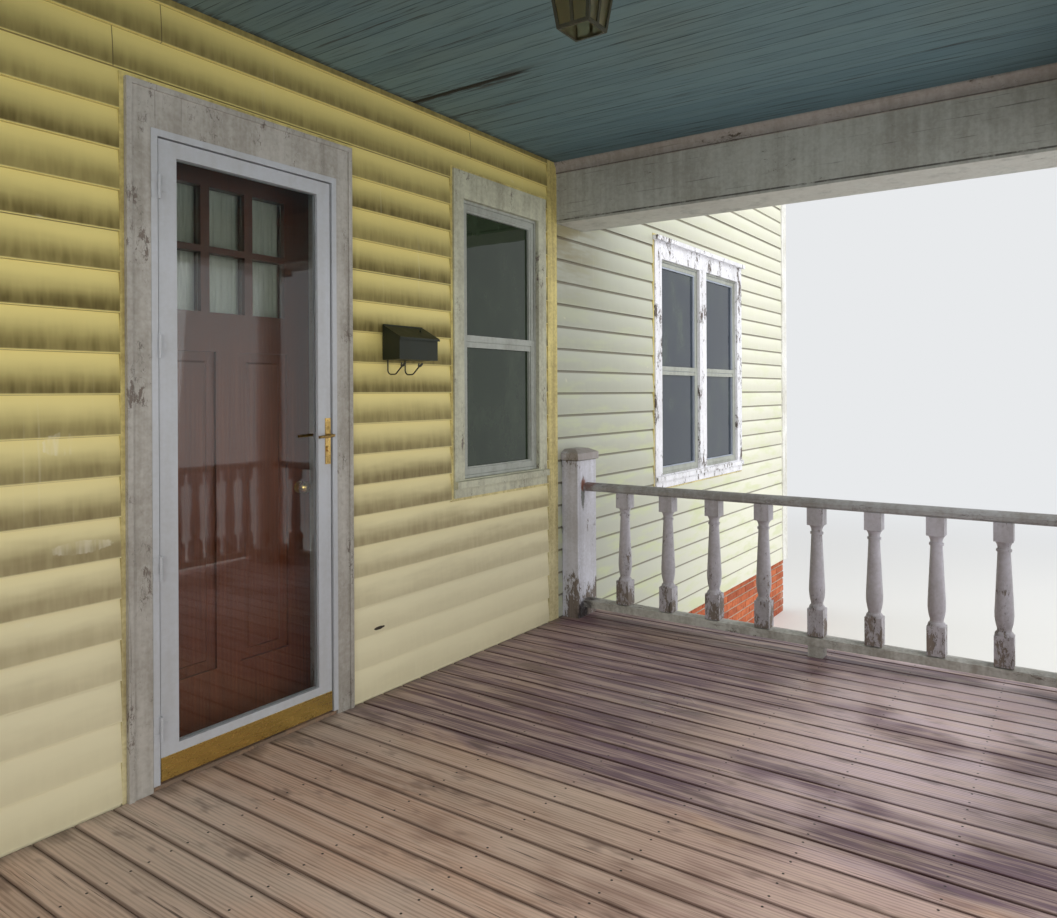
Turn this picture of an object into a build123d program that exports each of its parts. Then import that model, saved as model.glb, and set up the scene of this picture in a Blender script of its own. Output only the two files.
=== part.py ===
import os
from math import cos, radians, sqrt, tan

from build123d import *

os.makedirs("parts", exist_ok=True)

# A covered front porch with the stretch of house wall that carries it. Millimetres, +Z up,
# ground at Z 0, X 0 on the centreline of the door, +Y into the house, siding face at Y 0.

# Steps and deck
riser_height = 180
riser_count = 5
tread_depth = 280
tread_thickness = 38
tread_nosing = 25
riser_board = 18
stringer_thickness = 40
stringer_depth = 110
stringer_count = 3
steps_half_width = 860
deck_z = riser_height * riser_count
deck_thickness = 28
deck_half_width = 2310
deck_front = -2885
deck_overhang = 20
ceiling_height = 2570
joist_height = 182
joist_thickness = 40
joist_count = 7
pier_side = 300
pier_column_count = 4
pier_inset = 20

# House wall and siding
lap_exposure = 127
first_lap_above_deck = 133
low_course_count = 4
course_count = 31
siding_depth = 18
siding_butt = 9
siding_crown = 2.2
wall_thickness = 180
foundation_thickness = 200
foundation_setback = 12
wall_left_reach = 450
wall_split_reach = 290
wall_right_reach = 3890
wall_left_x = -deck_half_width - wall_left_reach
wall_split_x = deck_half_width + wall_split_reach
wall_right_x = deck_half_width + wall_right_reach
corner_post_width = 130
corner_post_proud = 8
corner_post_skin = 18
channel_width = 14
end_strip_width = 95
siding_z = deck_z + first_lap_above_deck - low_course_count * lap_exposure
wall_top_z = siding_z + course_count * lap_exposure
wall_y = siding_depth
inner_wall_y = wall_y + wall_thickness

# Doorway
doorway_half_width = 385.5
doorway_height = 2130
casing_width = 82
casing_head = 140
casing_proud = 10
casing_band = 18
casing_band_proud = 6
jamb_thickness = 30
stop_width = 12
stop_depth = 30
sill_height = 55
sill_nose = 18
sill_lip = 6
sill_step = 5
sill_set_back = 34
sill_fall = 8
sill_board = 32
running_gap = 5
lock_gap = 7

# Storm door
storm_leaf_thickness = 32
storm_leaf_front = -6
storm_frame_width = 22
storm_frame_front = -12
storm_frame_back = 30
storm_leaf_bottom = 45
storm_stile = 64
storm_top_rail = 52
storm_glass_bottom = 131
storm_glass_thickness = 5
storm_glass_lip = 8
storm_hinge_shares = (0.0925, 0.3352, 0.6718, 0.9136)
storm_hinge_heights = [share * doorway_height for share in storm_hinge_shares]
storm_hinge_length = 80
knuckle_radius = 5
knuckle_gap = 0.3
hinge_leaf_thickness = 2
hinge_leaf_width = 28
sweep_bottom = 25
sweep_height = 75
sweep_thickness = 3
lever_set = 44.5
lever_x = doorway_half_width - lever_set
lever_height = 0.522 * doorway_height
lever_length = 80
lever_neck = 46
lever_radius = 5.5
lock_plate_width = 26
spindle_clearance = 0.5
lever_droop = 4
lever_bend = 14
lock_plate_below = 114
lock_plate_above = 67
lock_plate_bottom = lever_height - lock_plate_below
lock_plate_top = lever_height + lock_plate_above
lock_plate_thickness = 3

# Inner door
inner_leaf_thickness = 44
inner_leaf_set = 6
lite_column_count = 3
lite_row_count = 2
lite_bar = 35
lite_bar_low = 24
lite_side = 128.5
lite_width = (2 * (doorway_half_width - lite_side) + lite_bar) / lite_column_count - lite_bar
lite_height = 215
lite_head = 103
lite_bottom = doorway_height - lite_head + lite_bar_low - lite_row_count * (lite_height + lite_bar_low)
lock_rail = 143
pane_thickness = 4
panel_bottom = 274
panel_top = lite_bottom - lock_rail
panel_recess = 12
panel_margin = 34
panel_field = 6
panel_taper_angle = 50
inner_stile = 110
centre_stile = 100
knob_height = 0.4225 * doorway_height
knob_radius = 25
knob_reach = 60
knob_rose = 24
knob_rose_thickness = 4
knob_neck = 9
knob_neck_start = 8
inner_hinge_foot = 250
inner_hinge_head = 200
inner_hinge_top = doorway_height - inner_hinge_head
inner_hinge_heights = (inner_hinge_foot, (inner_hinge_foot + inner_hinge_top) / 2, inner_hinge_top)
inner_hinge_length = 90
curtain_thickness = 10
curtain_stand_off = 4
curtain_side = 25
rod_radius = 4
rod_overhang = 20

# Porch windows
window_inset = 805
window_x = deck_half_width - window_inset
window_half_width = 320
window_bottom = 860
window_head_room = 360
window_top = ceiling_height - window_head_room
window_casing = 72
window_head = 130
window_sill_drop = 85
sash_member = 55
sash_depth = 30
meeting_rail = 34
meeting_height = 1510

# Double window beyond the porch
twin_reach = 1790
twin_x = deck_half_width + twin_reach
twin_mullion = 130
twin_sash_width = 670
twin_bottom = 690
twin_top = 2210
twin_casing = 105
twin_head = 150
twin_sill_drop = 90
twin_meeting_height = 1410
drip_cap = 30

# Railings
rail_inset = 140
rail_x = deck_half_width - rail_inset
newel_side = 205
newel_height = 890
newel_cap = 40
newel_cap_overhang = 12
newel_cap_slope = 22
step_newel_x = 900
top_rail_top = 760
top_rail_height = 46
top_rail_width = 80
top_rail_chamfer = 8
top_rail_chamfer_rise = 10
top_rail_shoulder_share = 0.55
bottom_rail_top = 100
bottom_rail_height = 45
bottom_rail_width = 82
bottom_rail_fall = 6
support_side = 70
baluster_side = 74
baluster_base = 130
baluster_head = 82
baluster_shoulder = (3, 12)
baluster_cove = 28
baluster_cove_rise = (18, 27)
baluster_bulb_side = (4, 48)
baluster_bulb_rise = 105
baluster_neck = 25
baluster_ring = 10
baluster_ring_proud = 5
baluster_flare = 34
baluster_flare_side = (2, 16)
end_baluster_first = 348
end_baluster_pitch = 260
end_baluster_count = 9
front_baluster_count = 7
front_baluster_share = 0.1311

# Columns, beams and ceiling
column_y = -2740
column_plinth = 250
column_plinth_height = 60
column_base_radius = 100
column_top_radius = 83
column_torus = 46
column_torus_proud = 22
column_fillet = 4
column_abacus = 42
column_echinus = 55
column_echinus_bulge = 20
column_echinus_reach = 30
column_necking = 8
column_necking_height = 12
column_cap_side = 250
beam_width = 295
beam_drop = 340
ceiling_thickness = 18
crown_height = 62
crown_depth = 24
crown_foot = 7
crown_fillet = 8
crown_hollow = (11, 24)
seat = 0.3

# Roof
eave_width = 285
soffit_thickness = 15
fascia_thickness = 20
fascia_drop = 25
roof_edge = 20
roof_thickness = 42
roof_pitch_angle = 14
eave_rise = 170
eave_top_z = deck_z + ceiling_height + eave_rise

# Lantern
lantern_y = -1385
lantern_drop = 350
lantern_bottom_side = 96
lantern_top_side = 150
lantern_body_height = 205
lantern_bar = 9
lantern_shell = 5
lantern_pane_thickness = 2
lantern_cap_overhang = 8
lantern_cap_height = 55
lantern_cap_top_side = 36
lantern_canopy_radius = 62
lantern_canopy_height = 18
lantern_stem_radius = 9

# Mailbox
mailbox_place = 0.4686
mailbox_width = 240
mailbox_depth = 100
mailbox_bottom = 1418
mailbox_front_height = 96
mailbox_back_height = 150
mailbox_sheet = 1.5
lid_gap = 1
lid_overhang = 8
lid_knuckle_radius = 3.5
lid_knuckle_length = 20
lid_wall_gap = 4
lid_lip = 8
lid_peg = 14
lid_peg_half = 5
lid_peg_thickness = 4
hook_radius = 3
hook_inset = 22
hook_offset = 8
hook_reach = 92
hook_drop = 62
hook_heel_share = 0.6
hook_tip_share = 0.45
hook_bends = (20, 24)
hook_wall_gap = 6


# Faces of the house front are sketched on planes facing the street and extruded outwards.
def front_plane(y):
    return Plane.XZ.offset(-y)


def rectangle(x_low, x_high, z_low, z_high, mode=Mode.ADD):
    with Locations(((x_low + x_high) / 2, (z_low + z_high) / 2)):
        Rectangle(x_high - x_low, z_high - z_low, mode=mode)


def block(x_range, y_range, z_range, mode=Mode.ADD):
    centre = [sum(pair) / 2 for pair in (x_range, y_range, z_range)]
    with Locations(tuple(centre)):
        Box(x_range[1] - x_range[0], y_range[1] - y_range[0], z_range[1] - z_range[0], mode=mode)


def both_sides(x):
    return (-x, x)


def finish(piece, name):
    piece.part.label = name
    export_step(piece.part, f"parts/{name}.step")


# House wall: slabs beside, over and under the doorway, with the windows cut through
doorway_rough = doorway_half_width + jamb_thickness
doorway_top_z = deck_z + doorway_height
doorway_rough_z = doorway_top_z + jamb_thickness
deck_bottom_z = deck_z - deck_thickness
window_z = (deck_z + window_bottom, deck_z + window_top)
twin_z = (deck_z + twin_bottom, deck_z + twin_top)
twin_half_width = twin_mullion / 2 + twin_sash_width
twin_sash_x = twin_mullion / 2 + twin_sash_width / 2


def wall_slab(x_low, x_high, hole_x, hole_half, hole_z):
    with BuildPart() as slab:
        with BuildSketch(front_plane(inner_wall_y)):
            rectangle(x_low, x_high, siding_z, wall_top_z)
            rectangle(hole_x - hole_half, hole_x + hole_half, *hole_z, mode=Mode.SUBTRACT)
        extrude(amount=wall_thickness)
    return slab


front_wall_left = wall_slab(wall_left_x, -doorway_rough, -window_x, window_half_width, window_z)
front_wall_right = wall_slab(doorway_rough, wall_split_x, window_x, window_half_width, window_z)
wall_end_x = wall_right_x - corner_post_skin
front_wall_end = wall_slab(wall_split_x, wall_end_x, twin_x, twin_half_width, twin_z)
finish(front_wall_left, "front_wall_left")
finish(front_wall_right, "front_wall_right")
finish(front_wall_end, "front_wall_end")

with BuildPart() as front_wall_at_door:
    with BuildSketch(front_plane(inner_wall_y)):
        rectangle(-doorway_rough, doorway_rough, doorway_rough_z, wall_top_z)
        rectangle(-doorway_rough, doorway_rough, siding_z, deck_bottom_z)
    extrude(amount=wall_thickness)
finish(front_wall_at_door, "front_wall_at_door")

foundation_y = wall_y + foundation_setback
with BuildPart() as foundation_wall:
    block((wall_left_x, wall_end_x), (foundation_y, foundation_y + foundation_thickness), (0, siding_z))
finish(foundation_wall, "foundation_wall")

# Siding: every course leans back from its butt edge with a slight crown
casing_outer = doorway_half_width + casing_width
casing_top_z = doorway_top_z + casing_head
window_outer = window_half_width + window_casing
window_frame_z = (window_z[0] - window_sill_drop, window_z[1] + window_head)
twin_outer = twin_half_width + twin_casing
twin_frame_z = (twin_z[0] - twin_sill_drop, twin_z[1] + twin_head)
beam_inner_x = rail_x - beam_width / 2
strip_x = beam_inner_x - end_strip_width

siding_openings = (
    (-casing_outer, casing_outer, deck_bottom_z, casing_top_z),
    (-window_x - window_outer, -window_x + window_outer, *window_frame_z),
    (window_x - window_outer, window_x + window_outer, *window_frame_z),
    (twin_x - twin_outer, twin_x + twin_outer, *twin_frame_z),
)

with BuildPart() as siding:
    with BuildSketch(Plane.YZ.offset(wall_left_x)):
        with BuildLine():
            lower = (siding_depth, siding_z)
            for course in range(course_count):
                butt_z = siding_z + course * lap_exposure
                top_z = butt_z + lap_exposure
                Line(lower, (0, butt_z))
                middle = (siding_butt / 2 - siding_crown, butt_z + lap_exposure / 2)
                ThreePointArc((0, butt_z), middle, (siding_butt, top_z))
                lower = (siding_butt, top_z)
            Line(lower, (siding_depth, top_z))
            Line((siding_depth, top_z), (siding_depth, siding_z))
        make_face()
    extrude(amount=wall_right_x - corner_post_width - wall_left_x)
    with BuildSketch(front_plane(siding_depth)):
        for x_low, x_high, z_low, z_high in siding_openings:
            rectangle(x_low - channel_width, x_high + channel_width, z_low, z_high + channel_width)
            if z_low > deck_z:
                rectangle(x_low - channel_width, x_high + channel_width, z_low - channel_width, z_low)
        for side in (-1, 1):
            strip = sorted((side * strip_x, side * beam_inner_x))
            rectangle(*strip, deck_z, wall_top_z)
    extrude(amount=siding_depth, mode=Mode.SUBTRACT)
finish(siding, "siding")

# Channel strips round the openings, flat strips at the porch ends and the corner post
with BuildPart() as siding_trim:
    with BuildSketch(front_plane(siding_depth)):
        for x_low, x_high, z_low, z_high in siding_openings:
            bottom = z_low - channel_width if z_low > deck_z else deck_z
            rectangle(x_low - channel_width, x_high + channel_width, bottom, z_high + channel_width)
        for side in (-1, 1):
            strip = sorted((side * strip_x, side * beam_inner_x))
            rectangle(*strip, deck_z, wall_top_z)
        for x_low, x_high, z_low, z_high in siding_openings:
            rectangle(x_low, x_high, z_low, z_high, mode=Mode.SUBTRACT)
    extrude(amount=siding_depth)
    with BuildSketch(Plane.XY.offset(siding_z)):
        with BuildLine():
            Polyline(
                (wall_right_x - corner_post_width, siding_depth),
                (wall_right_x - corner_post_width, -corner_post_proud),
                (wall_right_x, -corner_post_proud),
                (wall_right_x, inner_wall_y),
                (wall_end_x, inner_wall_y),
                (wall_end_x, siding_depth),
                close=True,
            )
        make_face()
    extrude(amount=wall_top_z - siding_z)
finish(siding_trim, "siding_trim")

# Doorway: casing on the wall face, jambs and head with stops, sloping sill
with BuildPart() as door_casing:
    with BuildSketch(front_plane(siding_depth)):
        rectangle(-casing_outer, casing_outer, deck_z, casing_top_z)
        rectangle(-doorway_half_width, doorway_half_width, deck_z, doorway_top_z, mode=Mode.SUBTRACT)
    extrude(amount=siding_depth + casing_proud)
    with BuildSketch(front_plane(-casing_proud)):
        rectangle(-casing_outer, casing_outer, deck_z, casing_top_z)
        band = casing_outer - casing_band
        rectangle(-band, band, deck_z, casing_top_z - casing_band, mode=Mode.SUBTRACT)
    extrude(amount=casing_band_proud)
finish(door_casing, "door_casing")

stop_x = doorway_half_width - stop_width
inner_leaf_back = inner_wall_y - inner_leaf_set
inner_leaf_front = inner_leaf_back - inner_leaf_thickness
stop_back = inner_leaf_front - running_gap
with BuildPart() as door_frame:
    with BuildSketch(front_plane(inner_wall_y)):
        rectangle(-doorway_rough, doorway_rough, deck_bottom_z, doorway_rough_z)
        rectangle(-doorway_half_width, doorway_half_width, deck_bottom_z, doorway_top_z, mode=Mode.SUBTRACT)
    extrude(amount=wall_thickness)
    with BuildSketch(front_plane(stop_back)):
        rectangle(-doorway_half_width, doorway_half_width, deck_z + sill_height, doorway_top_z)
        rectangle(-stop_x, stop_x, deck_z + sill_height, doorway_top_z - stop_width, mode=Mode.SUBTRACT)
    extrude(amount=stop_depth)
finish(door_frame, "door_frame")

with BuildPart() as door_sill:
    with BuildSketch(Plane.YZ.offset(-doorway_half_width)):
        with BuildLine():
            Polyline(
                (0, deck_bottom_z),
                (0, deck_z + sill_nose - sill_lip),
                (sill_set_back, deck_z + sill_nose),
                (sill_set_back, deck_z + sill_height - sill_step),
                (stop_back, deck_z + sill_height),
                (inner_wall_y, deck_z + sill_height),
                (inner_wall_y, deck_bottom_z),
                close=True,
            )
        make_face()
    extrude(amount=2 * doorway_half_width)
finish(door_sill, "door_sill")

# Storm door: frame with fixed knuckles, leaf with glass, brass sweep and lever set
storm_opening = doorway_half_width - storm_frame_width
storm_left_x = -storm_opening + running_gap
storm_right_x = storm_opening - lock_gap
storm_top_z = doorway_top_z - storm_frame_width - running_gap
storm_bottom_z = deck_z + storm_leaf_bottom
storm_leaf_back = storm_leaf_front + storm_leaf_thickness
storm_axis_x = -storm_opening + running_gap / 2
storm_axis_y = storm_frame_front - knuckle_radius - seat


def knuckles(x, y, heights, length, middle):
    """Middle barrels of a row of hinges, or the pairs above and below them."""
    barrel = (length - 2 * knuckle_gap) / 3
    for height in heights:
        centre = deck_z + height
        places = [centre] if middle else [centre - barrel - knuckle_gap, centre + barrel + knuckle_gap]
        for z in places:
            with Locations((x, y, z)):
                Cylinder(knuckle_radius, barrel)


def fixed_hinge_leaf(heights, length, x_range, y_range):
    barrel = (length - 2 * knuckle_gap) / 3
    for height in heights:
        for side in (-1, 1):
            centre = deck_z + height + side * (barrel + knuckle_gap)
            block(x_range, y_range, (centre - barrel / 2, centre + barrel / 2))


def moving_hinge_leaf(heights, length, x_range, y_range):
    barrel = (length - 2 * knuckle_gap) / 3
    for height in heights:
        block(x_range, y_range, (deck_z + height - barrel / 2, deck_z + height + barrel / 2))


with BuildPart() as storm_frame:
    with BuildSketch(front_plane(storm_frame_back)):
        rectangle(-doorway_half_width, doorway_half_width, deck_z + sill_nose, doorway_top_z)
        rectangle(
            -storm_opening, storm_opening, deck_z + sill_nose, doorway_top_z - storm_frame_width,
            mode=Mode.SUBTRACT,
        )
    extrude(amount=storm_frame_back - storm_frame_front)
    knuckles(storm_axis_x, storm_axis_y, storm_hinge_heights, storm_hinge_length, middle=False)
    fixed_hinge_leaf(
        storm_hinge_heights, storm_hinge_length,
        (-doorway_half_width, storm_axis_x),
        (storm_frame_front - hinge_leaf_thickness, storm_frame_front),
    )
finish(storm_frame, "storm_frame")

glass_left_x = storm_left_x + storm_stile
glass_right_x = -glass_left_x
glass_top_z = storm_top_z - storm_top_rail
glass_bottom_z = deck_z + storm_glass_bottom
storm_middle_y = (storm_leaf_front + storm_leaf_back) / 2
lever_z = deck_z + lever_height


def spindle_bore():
    with BuildSketch(front_plane(storm_leaf_back + lock_plate_thickness)) as bore:
        with Locations((lever_x, lever_z)):
            Circle(lever_radius + spindle_clearance)
    extrude(bore.sketch, amount=storm_leaf_thickness + 2 * lock_plate_thickness, mode=Mode.SUBTRACT)


with BuildPart() as storm_leaf:
    with BuildSketch(front_plane(storm_leaf_back)):
        rectangle(storm_left_x, storm_right_x, storm_bottom_z, storm_top_z)
        rectangle(glass_left_x, glass_right_x, glass_bottom_z, glass_top_z, mode=Mode.SUBTRACT)
    extrude(amount=storm_leaf_thickness)
    groove = storm_glass_thickness / 2 + seat
    block(
        (glass_left_x - storm_glass_lip, glass_right_x + storm_glass_lip),
        (storm_middle_y - groove, storm_middle_y + groove),
        (glass_bottom_z - storm_glass_lip, glass_top_z + storm_glass_lip),
        mode=Mode.SUBTRACT,
    )
    spindle_bore()
finish(storm_leaf, "storm_leaf")

with BuildPart() as storm_glass:
    block(
        (glass_left_x - storm_glass_lip + seat, glass_right_x + storm_glass_lip - seat),
        (storm_middle_y - storm_glass_thickness / 2, storm_middle_y + storm_glass_thickness / 2),
        (glass_bottom_z - storm_glass_lip + seat, glass_top_z + storm_glass_lip - seat),
    )
finish(storm_glass, "storm_glass")

with BuildPart() as storm_hinge_leaves:
    knuckles(storm_axis_x, storm_axis_y, storm_hinge_heights, storm_hinge_length, middle=True)
    moving_hinge_leaf(
        storm_hinge_heights, storm_hinge_length,
        (storm_axis_x, storm_left_x + hinge_leaf_thickness),
        (storm_axis_y, storm_leaf_front),
    )
    moving_hinge_leaf(
        storm_hinge_heights, storm_hinge_length,
        (storm_left_x, storm_left_x + hinge_leaf_width),
        (storm_leaf_front - hinge_leaf_thickness, storm_leaf_front),
    )
finish(storm_hinge_leaves, "storm_hinge_leaves")

with BuildPart() as storm_sweep:
    block(
        (storm_left_x, storm_right_x),
        (storm_leaf_front - sweep_thickness, storm_leaf_front),
        (deck_z + sweep_bottom, deck_z + sweep_bottom + sweep_height),
    )
    block(
        (storm_left_x, storm_right_x),
        (storm_leaf_front, storm_leaf_back),
        (deck_z + sweep_bottom, storm_bottom_z),
    )
finish(storm_sweep, "storm_sweep")

with BuildPart() as storm_lock_plates:
    for y_low in (storm_leaf_front - lock_plate_thickness, storm_leaf_back):
        block(
            (lever_x - lock_plate_width / 2, lever_x + lock_plate_width / 2),
            (y_low, y_low + lock_plate_thickness),
            (deck_z + lock_plate_bottom, deck_z + lock_plate_top),
        )
    spindle_bore()
finish(storm_lock_plates, "storm_lock_plates")

# One spindle through the stile, a neck each side and a grip towards the hinges
with BuildPart() as storm_lever:
    with BuildLine():
        grip_x = lever_x - lever_length
        front_y = storm_leaf_front - lever_neck
        back_y = storm_leaf_back + lever_neck
        lever_path = FilletPolyline(
            (grip_x, front_y, lever_z - lever_droop),
            (lever_x, front_y, lever_z),
            (lever_x, back_y, lever_z),
            (grip_x, back_y, lever_z - lever_droop),
            radius=lever_bend,
        )
    with BuildSketch(Plane(origin=lever_path @ 0, z_dir=lever_path % 0)):
        Circle(lever_radius)
    sweep(path=lever_path)
finish(storm_lever, "storm_lever")

# Inner door: stiles and rails, six lights over two tall panels
inner_left_x = -doorway_half_width + running_gap
inner_right_x = doorway_half_width - lock_gap
inner_bottom_z = deck_z + sill_height + running_gap
inner_top_z = doorway_top_z - running_gap
lite_pitch_x = lite_width + lite_bar
lite_pitch_z = lite_height + lite_bar_low
lite_top = lite_bottom + lite_row_count * lite_pitch_z - lite_bar_low
lite_centre_z = deck_z + (lite_bottom + lite_top) / 2
inner_middle_y = (inner_leaf_front + inner_leaf_back) / 2
panel_width = inner_right_x - inner_stile - centre_stile / 2


def panel_faces(margin):
    """Both tall panels of one face of the inner door, drawn in by a margin."""
    for side in (-1, 1):
        low, high = sorted((side * centre_stile / 2, side * (centre_stile / 2 + panel_width)))
        rectangle(low + margin, high - margin, deck_z + panel_bottom + margin, deck_z + panel_top - margin)


inner_axis_x = -doorway_half_width + running_gap / 2
inner_axis_y = inner_wall_y + knuckle_radius + seat
with BuildPart() as inner_leaf:
    with BuildSketch(front_plane(inner_leaf_back)):
        rectangle(inner_left_x, inner_right_x, inner_bottom_z, inner_top_z)
        with Locations((0, lite_centre_z)):
            with GridLocations(lite_pitch_x, lite_pitch_z, lite_column_count, lite_row_count):
                Rectangle(lite_width, lite_height, mode=Mode.SUBTRACT)
    extrude(amount=inner_leaf_thickness)
    for y, outward in ((inner_leaf_front, 1), (inner_leaf_back, -1)):
        with BuildSketch(front_plane(y)):
            panel_faces(0)
        extrude(amount=-outward * panel_recess, mode=Mode.SUBTRACT)
        with BuildSketch(front_plane(y + outward * panel_recess)):
            panel_faces(panel_margin)
        extrude(amount=outward * panel_field, taper=outward * panel_taper_angle)
finish(inner_leaf, "inner_leaf")

with BuildPart() as inner_panes:
    with BuildSketch(front_plane(inner_middle_y + pane_thickness / 2)):
        with Locations((0, lite_centre_z)):
            with GridLocations(lite_pitch_x, lite_pitch_z, lite_column_count, lite_row_count):
                Rectangle(lite_width - 2 * seat, lite_height - 2 * seat)
    extrude(amount=pane_thickness)
finish(inner_panes, "inner_panes")

with BuildPart() as inner_hinge_leaves:
    knuckles(inner_axis_x, inner_axis_y, inner_hinge_heights, inner_hinge_length, middle=True)
    moving_hinge_leaf(
        inner_hinge_heights, inner_hinge_length,
        (inner_axis_x, inner_left_x + hinge_leaf_thickness),
        (inner_leaf_back, inner_axis_y),
    )
    moving_hinge_leaf(
        inner_hinge_heights, inner_hinge_length,
        (inner_left_x, inner_left_x + hinge_leaf_width),
        (inner_leaf_back, inner_leaf_back + hinge_leaf_thickness),
    )
finish(inner_hinge_leaves, "inner_hinge_leaves")

with BuildPart() as inner_frame_hinges:
    knuckles(inner_axis_x, inner_axis_y, inner_hinge_heights, inner_hinge_length, middle=False)
    fixed_hinge_leaf(
        inner_hinge_heights, inner_hinge_length,
        (inner_axis_x - hinge_leaf_width, inner_axis_x),
        (inner_wall_y, inner_wall_y + hinge_leaf_thickness),
    )
finish(inner_frame_hinges, "inner_frame_hinges")

# Knob on each face: rose, neck and ball turned as one outline
knob_x = inner_right_x - inner_stile / 2
with BuildPart() as inner_knobs:
    for y, outward in ((inner_leaf_front, -1), (inner_leaf_back, 1)):
        centre = (knob_x, y, deck_z + knob_height)
        with BuildSketch(Plane(origin=centre, x_dir=(1, 0, 0), z_dir=(0, 0, 1))):
            with BuildLine():
                ball_y = knob_reach - knob_radius
                ball_low = ball_y - sqrt(knob_radius**2 - knob_neck**2)
                neck_end = (knob_neck, outward * ball_low)
                tip = (0, outward * knob_reach)
                rose_edge = (knob_rose, outward * knob_rose_thickness)
                Polyline(
                    tip, (0, 0), (knob_rose, 0), rose_edge, (knob_neck, outward * knob_neck_start), neck_end
                )
                ThreePointArc(neck_end, (knob_radius, outward * ball_y), tip)
            make_face()
        revolve(axis=Axis(centre, (0, 1, 0)))
finish(inner_knobs, "inner_knobs")

# Curtain over the lights and the rods it hangs on
curtain_half = (lite_column_count * lite_pitch_x - lite_bar) / 2 + curtain_side
curtain_low_z = deck_z + lite_bottom - curtain_side
curtain_top_z = deck_z + lite_top + curtain_side
curtain_front = inner_leaf_back + curtain_stand_off
with BuildPart() as door_curtain:
    block(
        both_sides(curtain_half),
        (curtain_front, curtain_front + curtain_thickness),
        (curtain_low_z, curtain_top_z),
    )
finish(door_curtain, "door_curtain")

with BuildPart() as curtain_rod:
    rod_z = curtain_top_z + rod_radius + seat
    rod_y = curtain_front + curtain_thickness / 2
    with BuildSketch(Plane.YZ.offset(-curtain_half - rod_overhang)):
        with Locations((rod_y, rod_z)):
            Circle(rod_radius)
    extrude(amount=2 * (curtain_half + rod_overhang))
    for side in (-1, 1):
        bracket = sorted((side * (curtain_half + seat), side * (curtain_half + rod_overhang)))
        block(bracket, (inner_leaf_back, rod_y), (rod_z - rod_radius, rod_z + rod_radius))
finish(curtain_rod, "curtain_rod")


# Windows: casing with head and sill, sash frame with a meeting rail, two panes each
def window_casing_face(x, half_width, z_range, frame_z, outer):
    rectangle(x - outer, x + outer, *frame_z)
    rectangle(x - half_width, x + half_width, *z_range, mode=Mode.SUBTRACT)


def window_sill(x, outer, z_range, drop):
    """Sill that slopes outwards below the sash, with a nose past the casing face."""
    with BuildSketch(Plane.YZ.offset(x - outer)) as section:
        with BuildLine():
            Polyline(
                (siding_depth, z_range[0]),
                (-casing_proud - sill_nose, z_range[0] - sill_fall),
                (-casing_proud - sill_nose, z_range[0] - sill_fall - sill_board),
                (siding_depth, z_range[0] - sill_fall - sill_board),
                close=True,
            )
        make_face()
    extrude(section.sketch, amount=2 * outer)


def sash(x, half_width, z_range, meeting_z):
    with BuildSketch(front_plane(wall_y + sash_depth)) as face:
        rectangle(x - half_width, x + half_width, *z_range)
        inner = half_width - sash_member
        rectangle(x - inner, x + inner, z_range[0] + sash_member, meeting_z, mode=Mode.SUBTRACT)
        rectangle(
            x - inner, x + inner, meeting_z + meeting_rail, z_range[1] - sash_member, mode=Mode.SUBTRACT
        )
    extrude(face.sketch, amount=sash_depth)


def sash_panes(x, half_width, z_range, meeting_z):
    inner = half_width - sash_member - seat
    with BuildSketch(front_plane(wall_y + sash_depth / 2 + pane_thickness / 2)) as panes:
        rectangle(x - inner, x + inner, z_range[0] + sash_member + seat, meeting_z - seat)
        rectangle(
            x - inner, x + inner, meeting_z + meeting_rail + seat, z_range[1] - sash_member - seat
        )
    extrude(panes.sketch, amount=pane_thickness)


with BuildPart() as window_casings:
    with BuildSketch(front_plane(siding_depth)):
        for x in both_sides(window_x):
            window_casing_face(x, window_half_width, window_z, window_frame_z, window_outer)
    extrude(amount=siding_depth + casing_proud)
    for x in both_sides(window_x):
        window_sill(x, window_outer, window_z, window_sill_drop)
finish(window_casings, "window_casings")

with BuildPart() as window_sashes:
    for x in both_sides(window_x):
        sash(x, window_half_width, window_z, deck_z + meeting_height)
finish(window_sashes, "window_sashes")

with BuildPart() as window_glass:
    for x in both_sides(window_x):
        sash_panes(x, window_half_width, window_z, deck_z + meeting_height)
finish(window_glass, "window_glass")

twin_centres = (twin_x - twin_sash_x, twin_x + twin_sash_x)
with BuildPart() as twin_window_casing:
    with BuildSketch(front_plane(siding_depth)):
        rectangle(twin_x - twin_outer, twin_x + twin_outer, *twin_frame_z)
        for x in twin_centres:
            half = twin_sash_width / 2
            rectangle(x - half, x + half, *twin_z, mode=Mode.SUBTRACT)
    extrude(amount=siding_depth + casing_proud)
    window_sill(twin_x, twin_outer, twin_z, twin_sill_drop)
    block(
        (twin_x - twin_outer - drip_cap / 2, twin_x + twin_outer + drip_cap / 2),
        (-casing_proud - drip_cap, 0),
        (twin_frame_z[1] - drip_cap, twin_frame_z[1]),
    )
    block(
        (twin_x - twin_mullion / 2, twin_x + twin_mullion / 2),
        (siding_depth, siding_depth + sash_depth),
        twin_z,
    )
finish(twin_window_casing, "twin_window_casing")

with BuildPart() as twin_window_sashes:
    for x in twin_centres:
        sash(x, twin_sash_width / 2, twin_z, deck_z + twin_meeting_height)
finish(twin_window_sashes, "twin_window_sashes")

with BuildPart() as twin_window_glass:
    for x in twin_centres:
        sash_panes(x, twin_sash_width / 2, twin_z, deck_z + twin_meeting_height)
finish(twin_window_glass, "twin_window_glass")

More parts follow.
